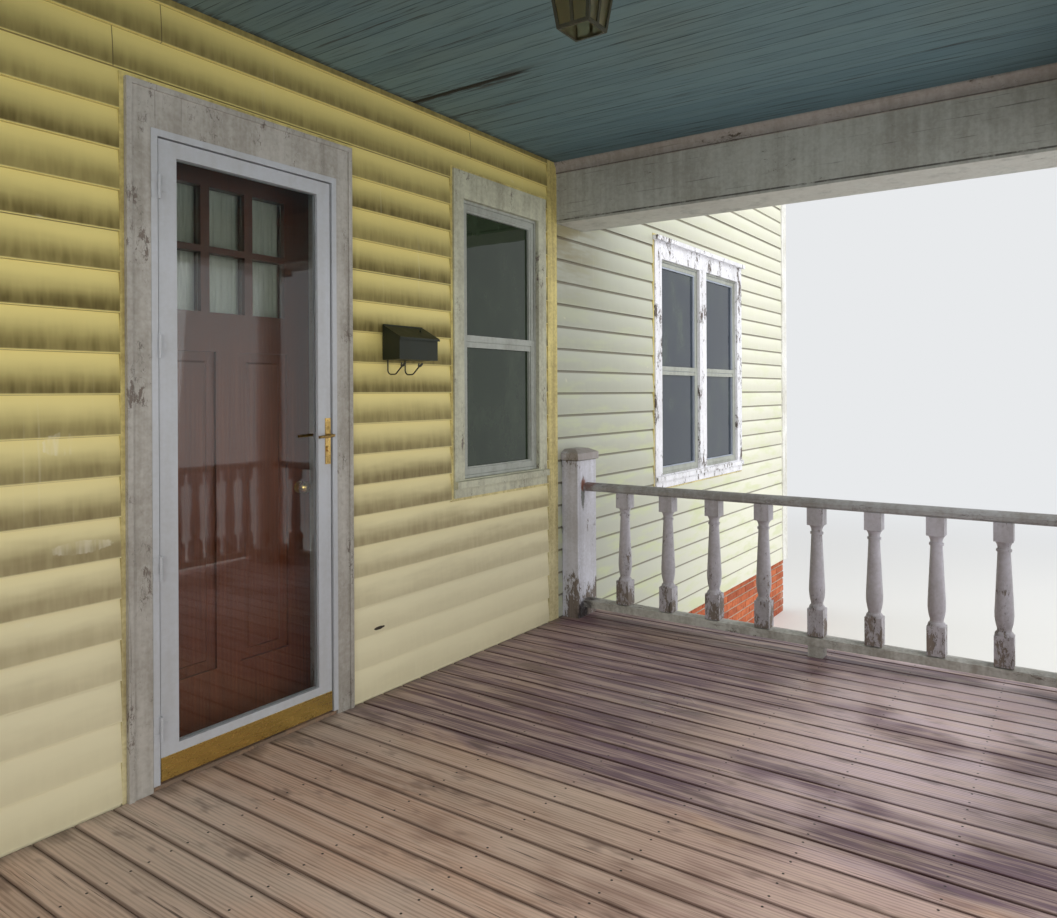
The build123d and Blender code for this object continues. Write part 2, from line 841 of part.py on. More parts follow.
# Mailbox: open sheet box, hinged sloping lid, two hooks below for a rolled paper
mailbox_z = deck_z + mailbox_bottom
mailbox_back_z = mailbox_z + mailbox_back_height
mailbox_front_z = mailbox_z + mailbox_front_height
mailbox_half = mailbox_width / 2
mailbox_x = casing_outer + mailbox_place * (window_x - window_outer - casing_outer)
lid_axis_y = -lid_knuckle_radius - lid_wall_gap
lid_slope = (mailbox_back_height - mailbox_front_height) / mailbox_depth
lid_back_z = mailbox_back_z + lid_gap
lid_axis_z = lid_back_z + lid_slope * lid_axis_y + lid_knuckle_radius / 2


def mailbox_side(inset, back_z, front_z):
    with BuildLine() as outline:
        Polyline(
            (-inset, mailbox_z + inset),
            (-mailbox_depth + inset, mailbox_z + inset),
            (-mailbox_depth + inset, front_z),
            (-inset, back_z),
            close=True,
        )
    make_face(outline.edges())


with BuildPart() as mailbox_box:
    with BuildSketch(Plane.YZ.offset(mailbox_x - mailbox_half)):
        mailbox_side(0, mailbox_back_z, mailbox_front_z)
    extrude(amount=mailbox_width)
    with BuildSketch(Plane.YZ.offset(mailbox_x - mailbox_half + mailbox_sheet)):
        over = mailbox_back_height
        mailbox_side(mailbox_sheet, mailbox_back_z + over, mailbox_front_z + over)
    extrude(amount=mailbox_width - 2 * mailbox_sheet, mode=Mode.SUBTRACT)
    for side in (-1, 1):
        ends = sorted((side * mailbox_half, side * (mailbox_half - lid_knuckle_length)))
        with BuildSketch(Plane.YZ.offset(mailbox_x + ends[0])):
            with Locations((lid_axis_y, lid_axis_z)):
                Circle(lid_knuckle_radius)
            with Locations((lid_axis_y / 2, lid_axis_z)):
                Rectangle(-lid_axis_y, lid_knuckle_radius)
        extrude(amount=lid_knuckle_length)
finish(mailbox_box, "mailbox_box")

with BuildPart() as mailbox_lid:
    with BuildSketch(Plane.YZ.offset(mailbox_x - mailbox_half - lid_overhang / 2)):
        with BuildLine():
            front = -mailbox_depth - lid_overhang
            back = lid_axis_y - lid_knuckle_radius
            Polyline(
                (back, lid_back_z + lid_slope * back),
                (front, lid_back_z + lid_slope * front),
                (front, lid_back_z + lid_slope * front - lid_lip),
                (front - mailbox_sheet, lid_back_z + lid_slope * front - lid_lip),
                (front - mailbox_sheet, lid_back_z + lid_slope * front + mailbox_sheet),
                (back, lid_back_z + lid_slope * back + mailbox_sheet),
                close=True,
            )
        make_face()
    extrude(amount=mailbox_width + lid_overhang)
    barrel_half = mailbox_half - lid_knuckle_length - knuckle_gap
    with BuildSketch(Plane.YZ.offset(mailbox_x - barrel_half)):
        with Locations((lid_axis_y, lid_axis_z)):
            Circle(lid_knuckle_radius)
        with Locations(((back + lid_axis_y) / 2, lid_axis_z - lid_knuckle_radius / 2)):
            Rectangle(lid_knuckle_radius, lid_knuckle_radius)
    extrude(amount=2 * barrel_half)
    with BuildSketch(Plane.YZ.offset(mailbox_x + mailbox_width / 4)):
        with BuildLine():
            peg_y = -mailbox_depth / 2
            peg_z = lid_back_z + lid_slope * peg_y
            Polyline(
                (peg_y - lid_peg_half, peg_z), (peg_y, peg_z + lid_peg), (peg_y + lid_peg_half, peg_z),
                close=True,
            )
        make_face()
    extrude(amount=lid_peg_thickness)
finish(mailbox_lid, "mailbox_lid")

with BuildPart() as mailbox_hooks:
    for x in (mailbox_x - mailbox_half + hook_inset, mailbox_x + hook_offset):
        with BuildLine():
            hook_path = FilletPolyline(
                (x, -hook_radius - hook_wall_gap, mailbox_z),
                (x, -hook_radius - hook_wall_gap, mailbox_z - hook_drop),
                (x, -hook_reach * hook_heel_share, mailbox_z - hook_drop),
                (x, -hook_reach, mailbox_z - hook_drop * hook_tip_share),
                radius=hook_bends,
            )
        with BuildSketch(Plane(origin=hook_path @ 0, z_dir=hook_path % 0)):
            Circle(hook_radius)
        sweep(path=hook_path)
finish(mailbox_hooks, "mailbox_hooks")

# Deck on joists and brick piers
with BuildPart() as deck:
    block(both_sides(deck_half_width), (deck_front, 0), (deck_bottom_z, deck_z))
finish(deck, "deck")

rim_x = deck_half_width - deck_overhang
rim_front = deck_front + deck_overhang
joist_z = deck_bottom_z - joist_height
joist_pitch = (-rim_front - joist_thickness) / (joist_count + 1)
with BuildPart() as deck_frame:
    with BuildSketch(Plane.XY.offset(joist_z)):
        rectangle(-rim_x, rim_x, rim_front, 0)
        for bay in range(joist_count + 1):
            near = -joist_thickness - bay * joist_pitch
            rectangle(
                -rim_x + joist_thickness, rim_x - joist_thickness,
                near - joist_pitch + joist_thickness, near, mode=Mode.SUBTRACT,
            )
    extrude(amount=joist_height)
finish(deck_frame, "deck_frame")

pier_x = rim_x - pier_inset - pier_side / 2
pier_y = rim_front + pier_inset + pier_side / 2
with BuildPart() as brick_piers:
    with BuildSketch(Plane.XY):
        with Locations((0, pier_y), (0, pier_y / 2)):
            with GridLocations(2 * pier_x / (pier_column_count - 1), 0, pier_column_count, 1):
                Rectangle(pier_side, pier_side)
    extrude(amount=joist_z)
finish(brick_piers, "brick_piers")

# Steps: treads with a nosing, boards behind them, sawtooth stringers
tread_count = riser_count - 1
with BuildPart() as step_treads:
    for tread in range(tread_count):
        top = deck_z - (tread + 1) * riser_height
        back = deck_front - tread * tread_depth
        if tread == 0:
            back = rim_front
        block(
            both_sides(steps_half_width),
            (deck_front - (tread + 1) * tread_depth - tread_nosing, back - riser_board),
            (top - tread_thickness, top),
        )
finish(step_treads, "step_treads")

with BuildPart() as step_risers:
    for riser in range(riser_count):
        front = rim_front - riser_board if riser == 0 else deck_front - riser * tread_depth
        top = deck_z - riser * riser_height - (deck_thickness if riser == 0 else tread_thickness)
        bottom = deck_z - (riser + 1) * riser_height
        block(both_sides(steps_half_width), (front, front + riser_board), (bottom, top))
finish(step_risers, "step_risers")

stringer_pitch = (2 * steps_half_width - stringer_thickness) / (stringer_count - 1)
with BuildPart() as step_stringers:
    for place in range(stringer_count):
        x = -steps_half_width + place * stringer_pitch
        with BuildSketch(Plane.YZ.offset(x)):
            with BuildLine():
                points = [(rim_front, deck_z - riser_height - tread_thickness)]
                for tread in range(tread_count):
                    level = deck_z - (tread + 1) * riser_height - tread_thickness
                    front = deck_front - (tread + 1) * tread_depth + riser_board
                    points.append((front, level))
                    if tread < tread_count - 1:
                        points.append((front, level - riser_height))
                points.append((front, 0))
                points.append((front + stringer_depth, 0))
                points.append((rim_front, deck_z - 2 * riser_height - tread_thickness - stringer_depth))
                Polyline(*points, close=True)
            make_face()
        extrude(amount=stringer_thickness)
finish(step_stringers, "step_stringers")


# Columns: square plinth, turned base, tapering shaft, necking and square cap
beam_z = deck_z + ceiling_height - beam_drop


def column_outline(clearance):
    plinth_z = deck_z + column_plinth_height
    shaft_low = plinth_z + column_torus
    shaft_high = beam_z - column_abacus - column_echinus
    base = column_base_radius + clearance
    neck = column_top_radius + clearance
    foot = base + column_torus_proud
    fillet_x = base + column_fillet
    entasis_z = shaft_low + (shaft_high - shaft_low) / 3
    collar = neck + column_necking
    collar_z = shaft_high + column_necking_height
    reach = neck + column_echinus_reach
    abacus_z = beam_z - column_abacus
    Polyline((0, deck_z), (foot, deck_z), (foot, plinth_z))
    torus_middle = (foot + column_torus / 3, plinth_z + column_torus / 2)
    ThreePointArc((foot, plinth_z), torus_middle, (fillet_x, shaft_low))
    Polyline((fillet_x, shaft_low), (base, shaft_low), (base, entasis_z))
    TangentArc((base, entasis_z), (neck, shaft_high), tangent=(0, 1))
    Polyline((neck, shaft_high), (collar, shaft_high), (collar, collar_z))
    echinus_middle = (neck + column_echinus_bulge, shaft_high + column_echinus * 0.45)
    ThreePointArc((collar, collar_z), echinus_middle, (reach, abacus_z))
    Polyline((reach, abacus_z), (reach, beam_z), (0, beam_z), (0, deck_z))


def column_shape(clearance):
    with BuildPart(mode=Mode.PRIVATE) as column:
        with BuildSketch(Plane.XZ):
            with BuildLine():
                column_outline(clearance)
            make_face()
        revolve(axis=Axis.Z)
        plinth = column_plinth + 2 * clearance
        block(both_sides(plinth / 2), both_sides(plinth / 2), (deck_z, deck_z + column_plinth_height))
        abacus = column_cap_side + 2 * clearance
        block(both_sides(abacus / 2), both_sides(abacus / 2), (beam_z - column_abacus, beam_z))
    return column.part


column_places = [(x, column_y) for x in both_sides(rail_x)]
column_form = column_shape(0)
column_cutter = column_shape(seat)
with BuildPart() as corner_columns:
    with Locations(*column_places):
        add(column_form)
finish(corner_columns, "corner_columns")


# Newels: half posts against the house wall, full posts beside the steps
def newel(x_range, y_range):
    block(x_range, y_range, (deck_z, deck_z + newel_height))
    cap_low = deck_z + newel_height
    x_mid = sum(x_range) / 2
    x_half = (x_range[1] - x_range[0]) / 2 + newel_cap_overhang
    y_low = y_range[0] - newel_cap_overhang
    y_high = y_range[1] + (newel_cap_overhang if y_range[1] < 0 else 0)
    block((x_mid - x_half, x_mid + x_half), (y_low, y_high), (cap_low, cap_low + newel_cap))
    slope = newel_cap_slope
    with BuildSketch(Plane.XY.offset(cap_low + newel_cap)) as cap_base:
        rectangle(x_mid - x_half, x_mid + x_half, y_low, y_high)
    with BuildSketch(Plane.XY.offset(cap_low + newel_cap + slope)) as cap_top:
        inset = 2 * slope
        high = y_high - inset if y_range[1] < 0 else y_high
        rectangle(x_mid - x_half + inset, x_mid + x_half - inset, y_low + inset, high)
    loft([cap_base.sketch, cap_top.sketch])


half_newel = newel_side / 2
with BuildPart() as newels:
    for x in both_sides(rail_x):
        newel((x - half_newel, x + half_newel), (-half_newel, 0))
    for x in both_sides(step_newel_x):
        newel((x - half_newel, x + half_newel), (column_y - half_newel, column_y + half_newel))
finish(newels, "newels")


# Rails: a rounded top rail and a flat bottom rail in each of four panels, coped to the columns
def top_rail_section():
    with BuildLine() as outline:
        half = top_rail_width / 2
        low = deck_z + top_rail_top - top_rail_height
        high = deck_z + top_rail_top
        foot = half - top_rail_chamfer
        side = low + top_rail_chamfer_rise
        shoulder = low + top_rail_height * top_rail_shoulder_share
        Polyline((-half, shoulder), (-half, side), (-foot, low), (foot, low), (half, side), (half, shoulder))
        ThreePointArc((half, shoulder), (0, high), (-half, shoulder))
    make_face(outline.edges())


def bottom_rail_section():
    with BuildLine() as outline:
        half = bottom_rail_width / 2
        high = deck_z + bottom_rail_top
        low = high - bottom_rail_height
        edge = high - bottom_rail_fall
        Polyline((-half, low), (half, low), (half, edge), (0, high), (-half, edge), close=True)
    make_face(outline.edges())


def rail_runs(section):
    for x in both_sides(rail_x):
        with BuildSketch(Plane(origin=(x, -half_newel, 0), x_dir=(1, 0, 0), z_dir=(0, -1, 0))) as run:
            section()
        extrude(run.sketch, amount=-half_newel - column_y)
    for side in (-1, 1):
        start = side * (step_newel_x + half_newel)
        with BuildSketch(Plane(origin=(start, column_y, 0), x_dir=(0, side, 0), z_dir=(side, 0, 0))) as run:
            section()
        extrude(run.sketch, amount=rail_x - step_newel_x - half_newel)
    with Locations(*column_places):
        add(column_cutter, mode=Mode.SUBTRACT)


with BuildPart() as top_rails:
    rail_runs(top_rail_section)
finish(top_rails, "top_rails")

support_y = -(end_baluster_first + end_baluster_pitch * (end_baluster_count - 1) / 2)
with BuildPart() as bottom_rails:
    rail_runs(bottom_rail_section)
    support_top = deck_z + bottom_rail_top - bottom_rail_height
    for x in both_sides(rail_x):
        block(
            (x - support_side / 2, x + support_side / 2),
            (support_y - support_side / 2, support_y + support_side / 2),
            (deck_z, support_top),
        )
finish(bottom_rails, "bottom_rails")

# Turned baluster: square blocks, shoulder, cove, long bulb tapering to a ringed neck
baluster_low = deck_z + bottom_rail_top
baluster_high = deck_z + top_rail_top - top_rail_height
with BuildPart(mode=Mode.PRIVATE) as baluster:
    with BuildSketch(Plane.XZ):
        with BuildLine():
            base_z = baluster_low + baluster_base
            top_z = baluster_high - baluster_head
            half = baluster_side / 2
            shoulder = (half - baluster_shoulder[0], base_z + baluster_shoulder[1])
            cove_low = (baluster_cove, base_z + baluster_cove_rise[0])
            cove_high = (baluster_cove, base_z + baluster_cove_rise[1])
            bulb_side = (half - baluster_bulb_side[0], base_z + baluster_bulb_side[1])
            bulb = (half, base_z + baluster_bulb_rise)
            neck = baluster_neck
            ring = neck + baluster_ring_proud
            ring_z = top_z - baluster_flare
            ring_low = ring_z - baluster_ring
            flare_side = (neck + baluster_flare_side[0], top_z - baluster_flare_side[1])
            Line((0, base_z), (half, base_z))
            ThreePointArc((half, base_z), shoulder, cove_low)
            Line(cove_low, cove_high)
            ThreePointArc(cove_high, bulb_side, bulb)
            Polyline(bulb, (neck, ring_low), (ring, ring_low), (ring, ring_z), (neck, ring_z))
            ThreePointArc((neck, ring_z), flare_side, (half, top_z))
            Polyline((half, top_z), (0, top_z), (0, base_z))
        make_face()
    revolve(axis=Axis.Z)
    block(both_sides(half), both_sides(half), (baluster_low, base_z))
    block(both_sides(half), both_sides(half), (top_z, baluster_high))

end_places = [-(end_baluster_first + end_baluster_pitch * n) for n in range(end_baluster_count)]
front_low = step_newel_x + half_newel
front_high = rail_x - column_base_radius
front_pitch = front_baluster_share * (front_high - front_low)
front_first = (front_low + front_high - front_pitch * (front_baluster_count - 1)) / 2
front_places = [front_first + front_pitch * n for n in range(front_baluster_count)]
panels = {
    "end_balusters_left": [(-rail_x, y) for y in end_places],
    "end_balusters_right": [(rail_x, y) for y in end_places],
    "front_balusters_left": [(-x, column_y) for x in front_places],
    "front_balusters_right": [(x, column_y) for x in front_places],
}
for name, places in panels.items():
    with BuildPart() as panel:
        with Locations(*places):
            add(baluster.part)
    finish(panel, name)

# Box beams over the columns, boarded ceiling between them and a moulding along the beams
beam_outer_x = beam_inner_x + beam_width
beam_back = column_y + beam_width / 2
beam_front = column_y - beam_width / 2
ceiling_z = deck_z + ceiling_height
beam_top_z = ceiling_z + ceiling_thickness
with BuildPart() as end_beams:
    for side in (-1, 1):
        block(sorted((side * beam_inner_x, side * beam_outer_x)), (beam_back, 0), (beam_z, beam_top_z))
finish(end_beams, "end_beams")

with BuildPart() as front_beam:
    block(both_sides(beam_outer_x), (beam_front, beam_back), (beam_z, beam_top_z))
finish(front_beam, "front_beam")

with BuildPart() as ceiling:
    block(both_sides(beam_inner_x), (beam_back, 0), (ceiling_z, beam_top_z))
finish(ceiling, "ceiling")

with BuildPart() as beam_crown:
    with BuildLine() as crown_path:
        Polyline(
            (-beam_inner_x, 0, ceiling_z), (-beam_inner_x, beam_back, ceiling_z),
            (beam_inner_x, beam_back, ceiling_z), (beam_inner_x, 0, ceiling_z),
        )
    with BuildSketch(Plane(origin=(-beam_inner_x, 0, ceiling_z), x_dir=(1, 0, 0), z_dir=(0, -1, 0))):
        with BuildLine():
            hollow = (crown_hollow[0], -crown_hollow[1])
            foot_z = -crown_height + crown_fillet
            Polyline((0, 0), (crown_depth, 0), (crown_depth, -crown_fillet))
            ThreePointArc((crown_depth, -crown_fillet), hollow, (crown_foot, foot_z))
            Polyline((crown_foot, foot_z), (crown_foot, -crown_height), (0, -crown_height), (0, 0))
        make_face()
    sweep(path=crown_path.wire(), transition=Transition.RIGHT)
finish(beam_crown, "beam_crown")

# Hipped roof: three slabs that meet at the hips and at a short ridge square to the wall
pitch_rise = tan(radians(roof_pitch_angle))
slope_stretch = 1 / cos(radians(roof_pitch_angle))
eave_x = beam_outer_x + eave_width + fascia_thickness + roof_edge
eave_y = beam_front - eave_width - fascia_thickness - roof_edge
roof_low_z = eave_top_z - roof_thickness
roof_length = -eave_y

with BuildPart() as roof_left:
    with BuildSketch(Plane(origin=(-eave_x, 0, roof_low_z), x_dir=(0, -1, 0), z_dir=(-pitch_rise, 0, 1))):
        with BuildLine():
            Polyline(
                (0, 0), (roof_length, 0), (roof_length - eave_x, eave_x * slope_stretch),
                (0, eave_x * slope_stretch), close=True,
            )
        make_face()
    extrude(amount=roof_thickness, dir=(0, 0, 1))
finish(roof_left, "roof_left")

with BuildPart() as roof_right:
    add(mirror(roof_left.part, about=Plane.YZ))
finish(roof_right, "roof_right")

with BuildPart() as roof_front:
    with BuildSketch(Plane(origin=(-eave_x, eave_y, roof_low_z), x_dir=(1, 0, 0), z_dir=(0, -pitch_rise, 1))):
        with BuildLine():
            Polyline((0, 0), (2 * eave_x, 0), (eave_x, eave_x * slope_stretch), close=True)
        make_face()
    extrude(amount=roof_thickness, dir=(0, 0, 1))
finish(roof_front, "roof_front")

fascia_x = eave_x - roof_edge
fascia_y = eave_y + roof_edge
fascia_top = roof_low_z + roof_edge * pitch_rise
soffit_z = beam_top_z - soffit_thickness
with BuildPart() as eaves:
    with BuildSketch(Plane.XY.offset(soffit_z)):
        rectangle(-fascia_x, fascia_x, fascia_y, 0)
        rectangle(-beam_outer_x, beam_outer_x, beam_front, 0, mode=Mode.SUBTRACT)
    extrude(amount=soffit_thickness)
    with BuildSketch(Plane.XY.offset(soffit_z - fascia_drop)):
        rectangle(-fascia_x, fascia_x, fascia_y, 0)
        inner_x = fascia_x - fascia_thickness
        rectangle(-inner_x, inner_x, fascia_y + fascia_thickness, 0, mode=Mode.SUBTRACT)
    extrude(amount=fascia_top - soffit_z + fascia_drop)
finish(eaves, "eaves")


# Lantern: square tapered cage with two panes a side, hung close to the ceiling
def lantern_square(side, z):
    with BuildSketch(Plane(origin=(0, lantern_y, z))) as square:
        Rectangle(side, side)
    return square.sketch


lantern_low_z = deck_z + ceiling_height - lantern_drop
lantern_top_z = lantern_low_z + lantern_body_height


def lantern_taper(shrink, mode=Mode.ADD):
    bottom = lantern_square(lantern_bottom_side - shrink, lantern_low_z)
    top = lantern_square(lantern_top_side - shrink, lantern_top_z)
    loft([bottom, top], mode=mode)


with BuildPart() as lantern_frame:
    lantern_taper(0)
    lantern_taper(2 * lantern_shell, mode=Mode.SUBTRACT)
    front_face = Plane(origin=(0, lantern_y, 0), x_dir=(1, 0, 0), z_dir=(0, -1, 0))
    side_face = Plane(origin=(0, lantern_y, 0), x_dir=(0, 1, 0), z_dir=(1, 0, 0))
    for face in (front_face, side_face):
        with BuildSketch(face):
            with BuildLine():
                low = lantern_low_z + lantern_bar
                high = lantern_top_z - lantern_bar
                grow = (lantern_top_side - lantern_bottom_side) / lantern_body_height
                half_low = (lantern_bottom_side + grow * lantern_bar) / 2 - lantern_bar
                half_high = (lantern_top_side - grow * lantern_bar) / 2 - lantern_bar
                Polyline(
                    (lantern_bar / 2, low), (half_low, low), (half_high, high), (lantern_bar / 2, high),
                    close=True,
                )
            make_face()
            mirror(about=Plane.YZ)
        extrude(amount=lantern_top_side, both=True, mode=Mode.SUBTRACT)
    cap_low = lantern_square(lantern_top_side + 2 * lantern_cap_overhang, lantern_top_z)
    cap_high = lantern_square(lantern_cap_top_side, lantern_top_z + lantern_cap_height)
    loft([cap_low, cap_high])
    with Locations((0, lantern_y, (lantern_top_z + lantern_cap_height + ceiling_z) / 2)):
        Cylinder(lantern_stem_radius, ceiling_z - lantern_top_z - lantern_cap_height)
    with Locations((0, lantern_y, ceiling_z - lantern_canopy_height / 2)):
        Cylinder(lantern_canopy_radius, lantern_canopy_height)
finish(lantern_frame, "lantern_frame")

with BuildPart() as lantern_panes:
    pane_shrink = 2 * (lantern_shell + seat)
    lantern_taper(pane_shrink)
    lantern_taper(pane_shrink + 2 * lantern_pane_thickness, mode=Mode.SUBTRACT)
finish(lantern_panes, "lantern_panes")
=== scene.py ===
from math import atan2, cos, pi, radians, sin, sqrt

import bpy
from mathutils import Matrix, Vector


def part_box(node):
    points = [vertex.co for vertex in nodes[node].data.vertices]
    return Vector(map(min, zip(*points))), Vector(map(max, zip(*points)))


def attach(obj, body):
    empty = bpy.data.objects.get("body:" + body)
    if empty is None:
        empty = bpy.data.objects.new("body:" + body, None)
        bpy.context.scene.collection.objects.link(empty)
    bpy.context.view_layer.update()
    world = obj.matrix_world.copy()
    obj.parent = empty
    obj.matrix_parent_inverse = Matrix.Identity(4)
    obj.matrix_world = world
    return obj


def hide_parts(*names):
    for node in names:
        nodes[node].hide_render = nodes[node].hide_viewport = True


# Front porch with its stretch of house wall. Metres, ground at Z 0, X 0 in the middle of the
# doorway, +Y into the house, siding face at Y 0.

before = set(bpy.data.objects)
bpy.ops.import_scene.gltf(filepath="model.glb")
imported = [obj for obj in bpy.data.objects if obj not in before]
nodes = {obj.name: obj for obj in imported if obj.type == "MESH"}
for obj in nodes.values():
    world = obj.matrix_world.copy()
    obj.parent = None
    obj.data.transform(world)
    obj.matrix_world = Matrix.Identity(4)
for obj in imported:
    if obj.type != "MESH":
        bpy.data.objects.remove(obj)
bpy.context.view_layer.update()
scene = bpy.context.scene
print("Frame loaded:", len(nodes), "nodes")


# Mesh tools

def deselectAll():
    bpy.ops.object.select_all(action="DESELECT")


def pick(obj):
    deselectAll()
    obj.select_set(True)
    bpy.context.view_layer.objects.active = obj


def settle(obj):  # place, turn and scale go into the mesh
    pick(obj)
    bpy.ops.object.transform_apply(location=True, rotation=True, scale=True)
    return obj


def justAdded(name):  # what the last operator has made, under that name
    obj = bpy.context.object
    obj.name = name
    return obj


def modify(obj, kind, **settings):
    modifier = obj.modifiers.new(kind, kind)
    for key, value in settings.items():
        setattr(modifier, key, value)
    pick(obj)
    bpy.ops.object.modifier_apply(modifier=modifier.name)
    return obj


def startEdit(obj):
    pick(obj)
    bpy.ops.object.mode_set(mode="EDIT")
    bpy.ops.mesh.select_all(action="SELECT")


def endEdit():
    bpy.ops.object.mode_set(mode="OBJECT")


def addBlock(name, low, high, bevel=0.0, segments=1):
    low, high = Vector(low), Vector(high)
    deselectAll()
    bpy.ops.mesh.primitive_cube_add(size=1, location=(low + high) / 2)
    block = justAdded(name)
    block.scale = high - low
    settle(block)
    if bevel:
        startEdit(block)
        bpy.ops.mesh.bevel(offset=bevel, segments=segments, affect="EDGES")
        endEdit()
    return block


def repeat(obj, count, step):
    return modify(obj, "ARRAY", count=count, use_relative_offset=False, use_constant_offset=True,
                  constant_offset_displace=step)


def cutAway(obj, point, normal):  # clears the side that the normal points to
    startEdit(obj)
    bpy.ops.mesh.bisect(plane_co=point, plane_no=normal, use_fill=True, clear_outer=True)
    endEdit()
    obj.data.validate()
    return obj


def shift(obj, move):
    obj.location = Vector(move)
    return settle(obj)


def copyTo(obj, place):
    twin = obj.copy()
    twin.data = obj.data.copy()
    scene.collection.objects.link(twin)
    return shift(twin, place)


def joinAll(name, pieces):
    deselectAll()
    for piece in pieces:
        piece.select_set(True)
    bpy.context.view_layer.objects.active = pieces[0]
    bpy.ops.object.join()
    pieces[0].name = name
    return pieces[0]


def smooth(obj, angle):
    pick(obj)
    bpy.ops.object.shade_smooth_by_angle(angle=radians(angle))
    return obj


def addRing(name, low, high, width, bevel):
    # A flat frame in the XZ plane from low to high, its members that wide, with eased edges
    low, high = Vector(low), Vector(high)
    deselectAll()
    bpy.ops.mesh.primitive_plane_add(size=1, location=((low.x + high.x) / 2, low.y, (low.z + high.z) / 2))
    ring = justAdded(name)
    ring.rotation_euler = (pi / 2, 0, 0)
    ring.scale = (high.x - low.x, high.z - low.z, 1)
    settle(ring)
    startEdit(ring)
    bpy.ops.mesh.inset(thickness=width, depth=0)
    bpy.ops.mesh.delete(type="FACE")
    bpy.ops.mesh.select_all(action="SELECT")
    bpy.ops.mesh.extrude_region_move(TRANSFORM_OT_translate={"value": (0, high.y - low.y, 0)})
    bpy.ops.mesh.select_all(action="SELECT")
    bpy.ops.mesh.normals_make_consistent(inside=False)
    endEdit()
    return modify(ring, "BEVEL", width=bevel, segments=2)


# Material tools

def tint(red, green, blue):  # a colour as it shows, 0 to 255, turned linear
    shares = [value / 255 for value in (red, green, blue)]
    return (*[share / 12.92 if share <= 0.04045 else ((share + 0.055) / 1.055) ** 2.4 for share in shares], 1)


def put(kind, inputs=None, tree=None, **settings):
    # A node with its settings and inputs, in the tree of the first socket among those inputs
    inputs = inputs or {}
    wires = {key: value for key, value in inputs.items() if isinstance(value, bpy.types.NodeSocket)}
    tree = tree or next(iter(wires.values())).id_data
    made = tree.nodes.new("ShaderNode" + kind)
    for key, value in settings.items():
        setattr(made, key, value)
    for key, value in inputs.items():
        if key in wires:
            tree.links.new(value, made.inputs[key])
        else:
            made.inputs[key].default_value = value
    return made


def link(value, node, name="Base Color"):
    value.id_data.links.new(value, node.inputs[name])


def calc(operation, first, second=0.0, third=0.0, clamp=False):
    values = {0: first, 1: second, 2: third}
    return put("Math", values, operation=operation, use_clamp=clamp).outputs[0]


def times(first, *others, clamp=False):
    for other in others:
        first = calc("MULTIPLY", first, other, clamp=clamp)
    return first


def plus(first, *others):
    for other in others:
        first = calc("ADD", first, other)
    return first


def minus(first, second):
    return calc("SUBTRACT", first, second)


def over(first, second):
    return calc("DIVIDE", first, second)


def most(first, second):
    return calc("MAXIMUM", first, second)


def distance(value, middle):
    return calc("ABSOLUTE", minus(value, middle))


def measure(operation, first, second=(0, 0, 0)):  # between two vectors
    made = put("VectorMath", {0: first, 1: second}, operation=operation)
    return made.outputs["Value" if operation == "LENGTH" else "Vector"]


def blend(share, first, second, how="MIX"):
    colours = {0: share, 6: first, 7: second}
    return put("Mix", colours, data_type="RGBA", blend_type=how).outputs[2]


def between(share, pair):  # from the first to the second of two colours
    return blend(share, *[tint(*colour) for colour in pair])


def cover(below, look, *layers):
    # Lays named colours of a look over another. A layer has a name, then what makes up its strength
    for name, *masks in layers:
        below = blend(times(*masks), below, tint(*look[name]))
    return below


def ramp(value, low, high, toLow=0.0, toHigh=1.0):
    limits = {0: value, 1: low, 2: high, 3: toLow, 4: toHigh}
    return put("MapRange", limits, interpolation_type="SMOOTHSTEP").outputs[0]


def noise(vector, scale, detail=3.0, rough=0.55, distortion=0.0):
    look = {"Vector": vector, "Scale": scale, "Detail": detail, "Roughness": rough, "Distortion": distortion}
    return put("TexNoise", look).outputs["Fac"]


def figured(vector, scale, distortion, detailScale, rough=0.5):  # the figure of flat-sawn wood
    look = {"Vector": vector, "Scale": scale, "Distortion": distortion, "Detail": 3.0,
            "Detail Scale": detailScale, "Detail Roughness": rough}
    return put("TexWave", look, wave_type="BANDS", bands_direction="X").outputs["Fac"]


def stretch(vector, scale, turn=(0, 0, 0), place=(0, 0, 0)):
    look = {"Vector": vector, "Location": place, "Rotation": turn, "Scale": scale}
    return put("Mapping", look).outputs[0]


def split(vector):
    return put("SeparateXYZ", {0: vector}).outputs


def randomOf(number):
    return put("TexWhiteNoise", {"W": number}, noise_dimensions="1D").outputs[0]


def paint(name, pieces):
    for piece in pieces:
        obj = nodes[piece] if piece in nodes else bpy.data.objects[piece]
        obj.data.materials.clear()
        obj.data.materials.append(bpy.data.materials[name])


def newMaterial(name, pieces, roughness=0.5, metallic=0.0):
    # A material on those pieces: its shader and the place on the piece
    material = bpy.data.materials.new(name)
    material.use_nodes = True
    tree = material.node_tree
    tree.nodes.clear()
    shader = put("BsdfPrincipled", {"Roughness": roughness, "Metallic": metallic}, tree)
    put("OutputMaterial", {0: shader.outputs[0]})
    paint(name, pieces)
    return shader, put("TexCoord", tree=tree).outputs["Object"]


def bumpy(shader, height, strength, distance):
    made = put("Bump", {"Height": height, "Strength": strength, "Distance": distance})
    link(made.outputs[0], shader, "Normal")


def newGroup(name, inputs, outputs):
    # A shared effect on a vector, with its other inputs and their defaults, all single values
    tree = bpy.data.node_groups.new(name, "ShaderNodeTree")
    tree.interface.new_socket(name="Vector", in_out="INPUT", socket_type="NodeSocketVector")
    for label, value in inputs.items():
        socket = tree.interface.new_socket(name=label, in_out="INPUT", socket_type="NodeSocketFloat")
        socket.default_value = value
    for label in outputs:
        tree.interface.new_socket(name=label, in_out="OUTPUT", socket_type="NodeSocketFloat")
    return tree.nodes.new("NodeGroupInput").outputs, tree.nodes.new("NodeGroupOutput")


def useGroup(name, vector, **inputs):
    return put("Group", {"Vector": vector, **inputs}, node_tree=bpy.data.node_groups[name]).outputs


# Shared effects

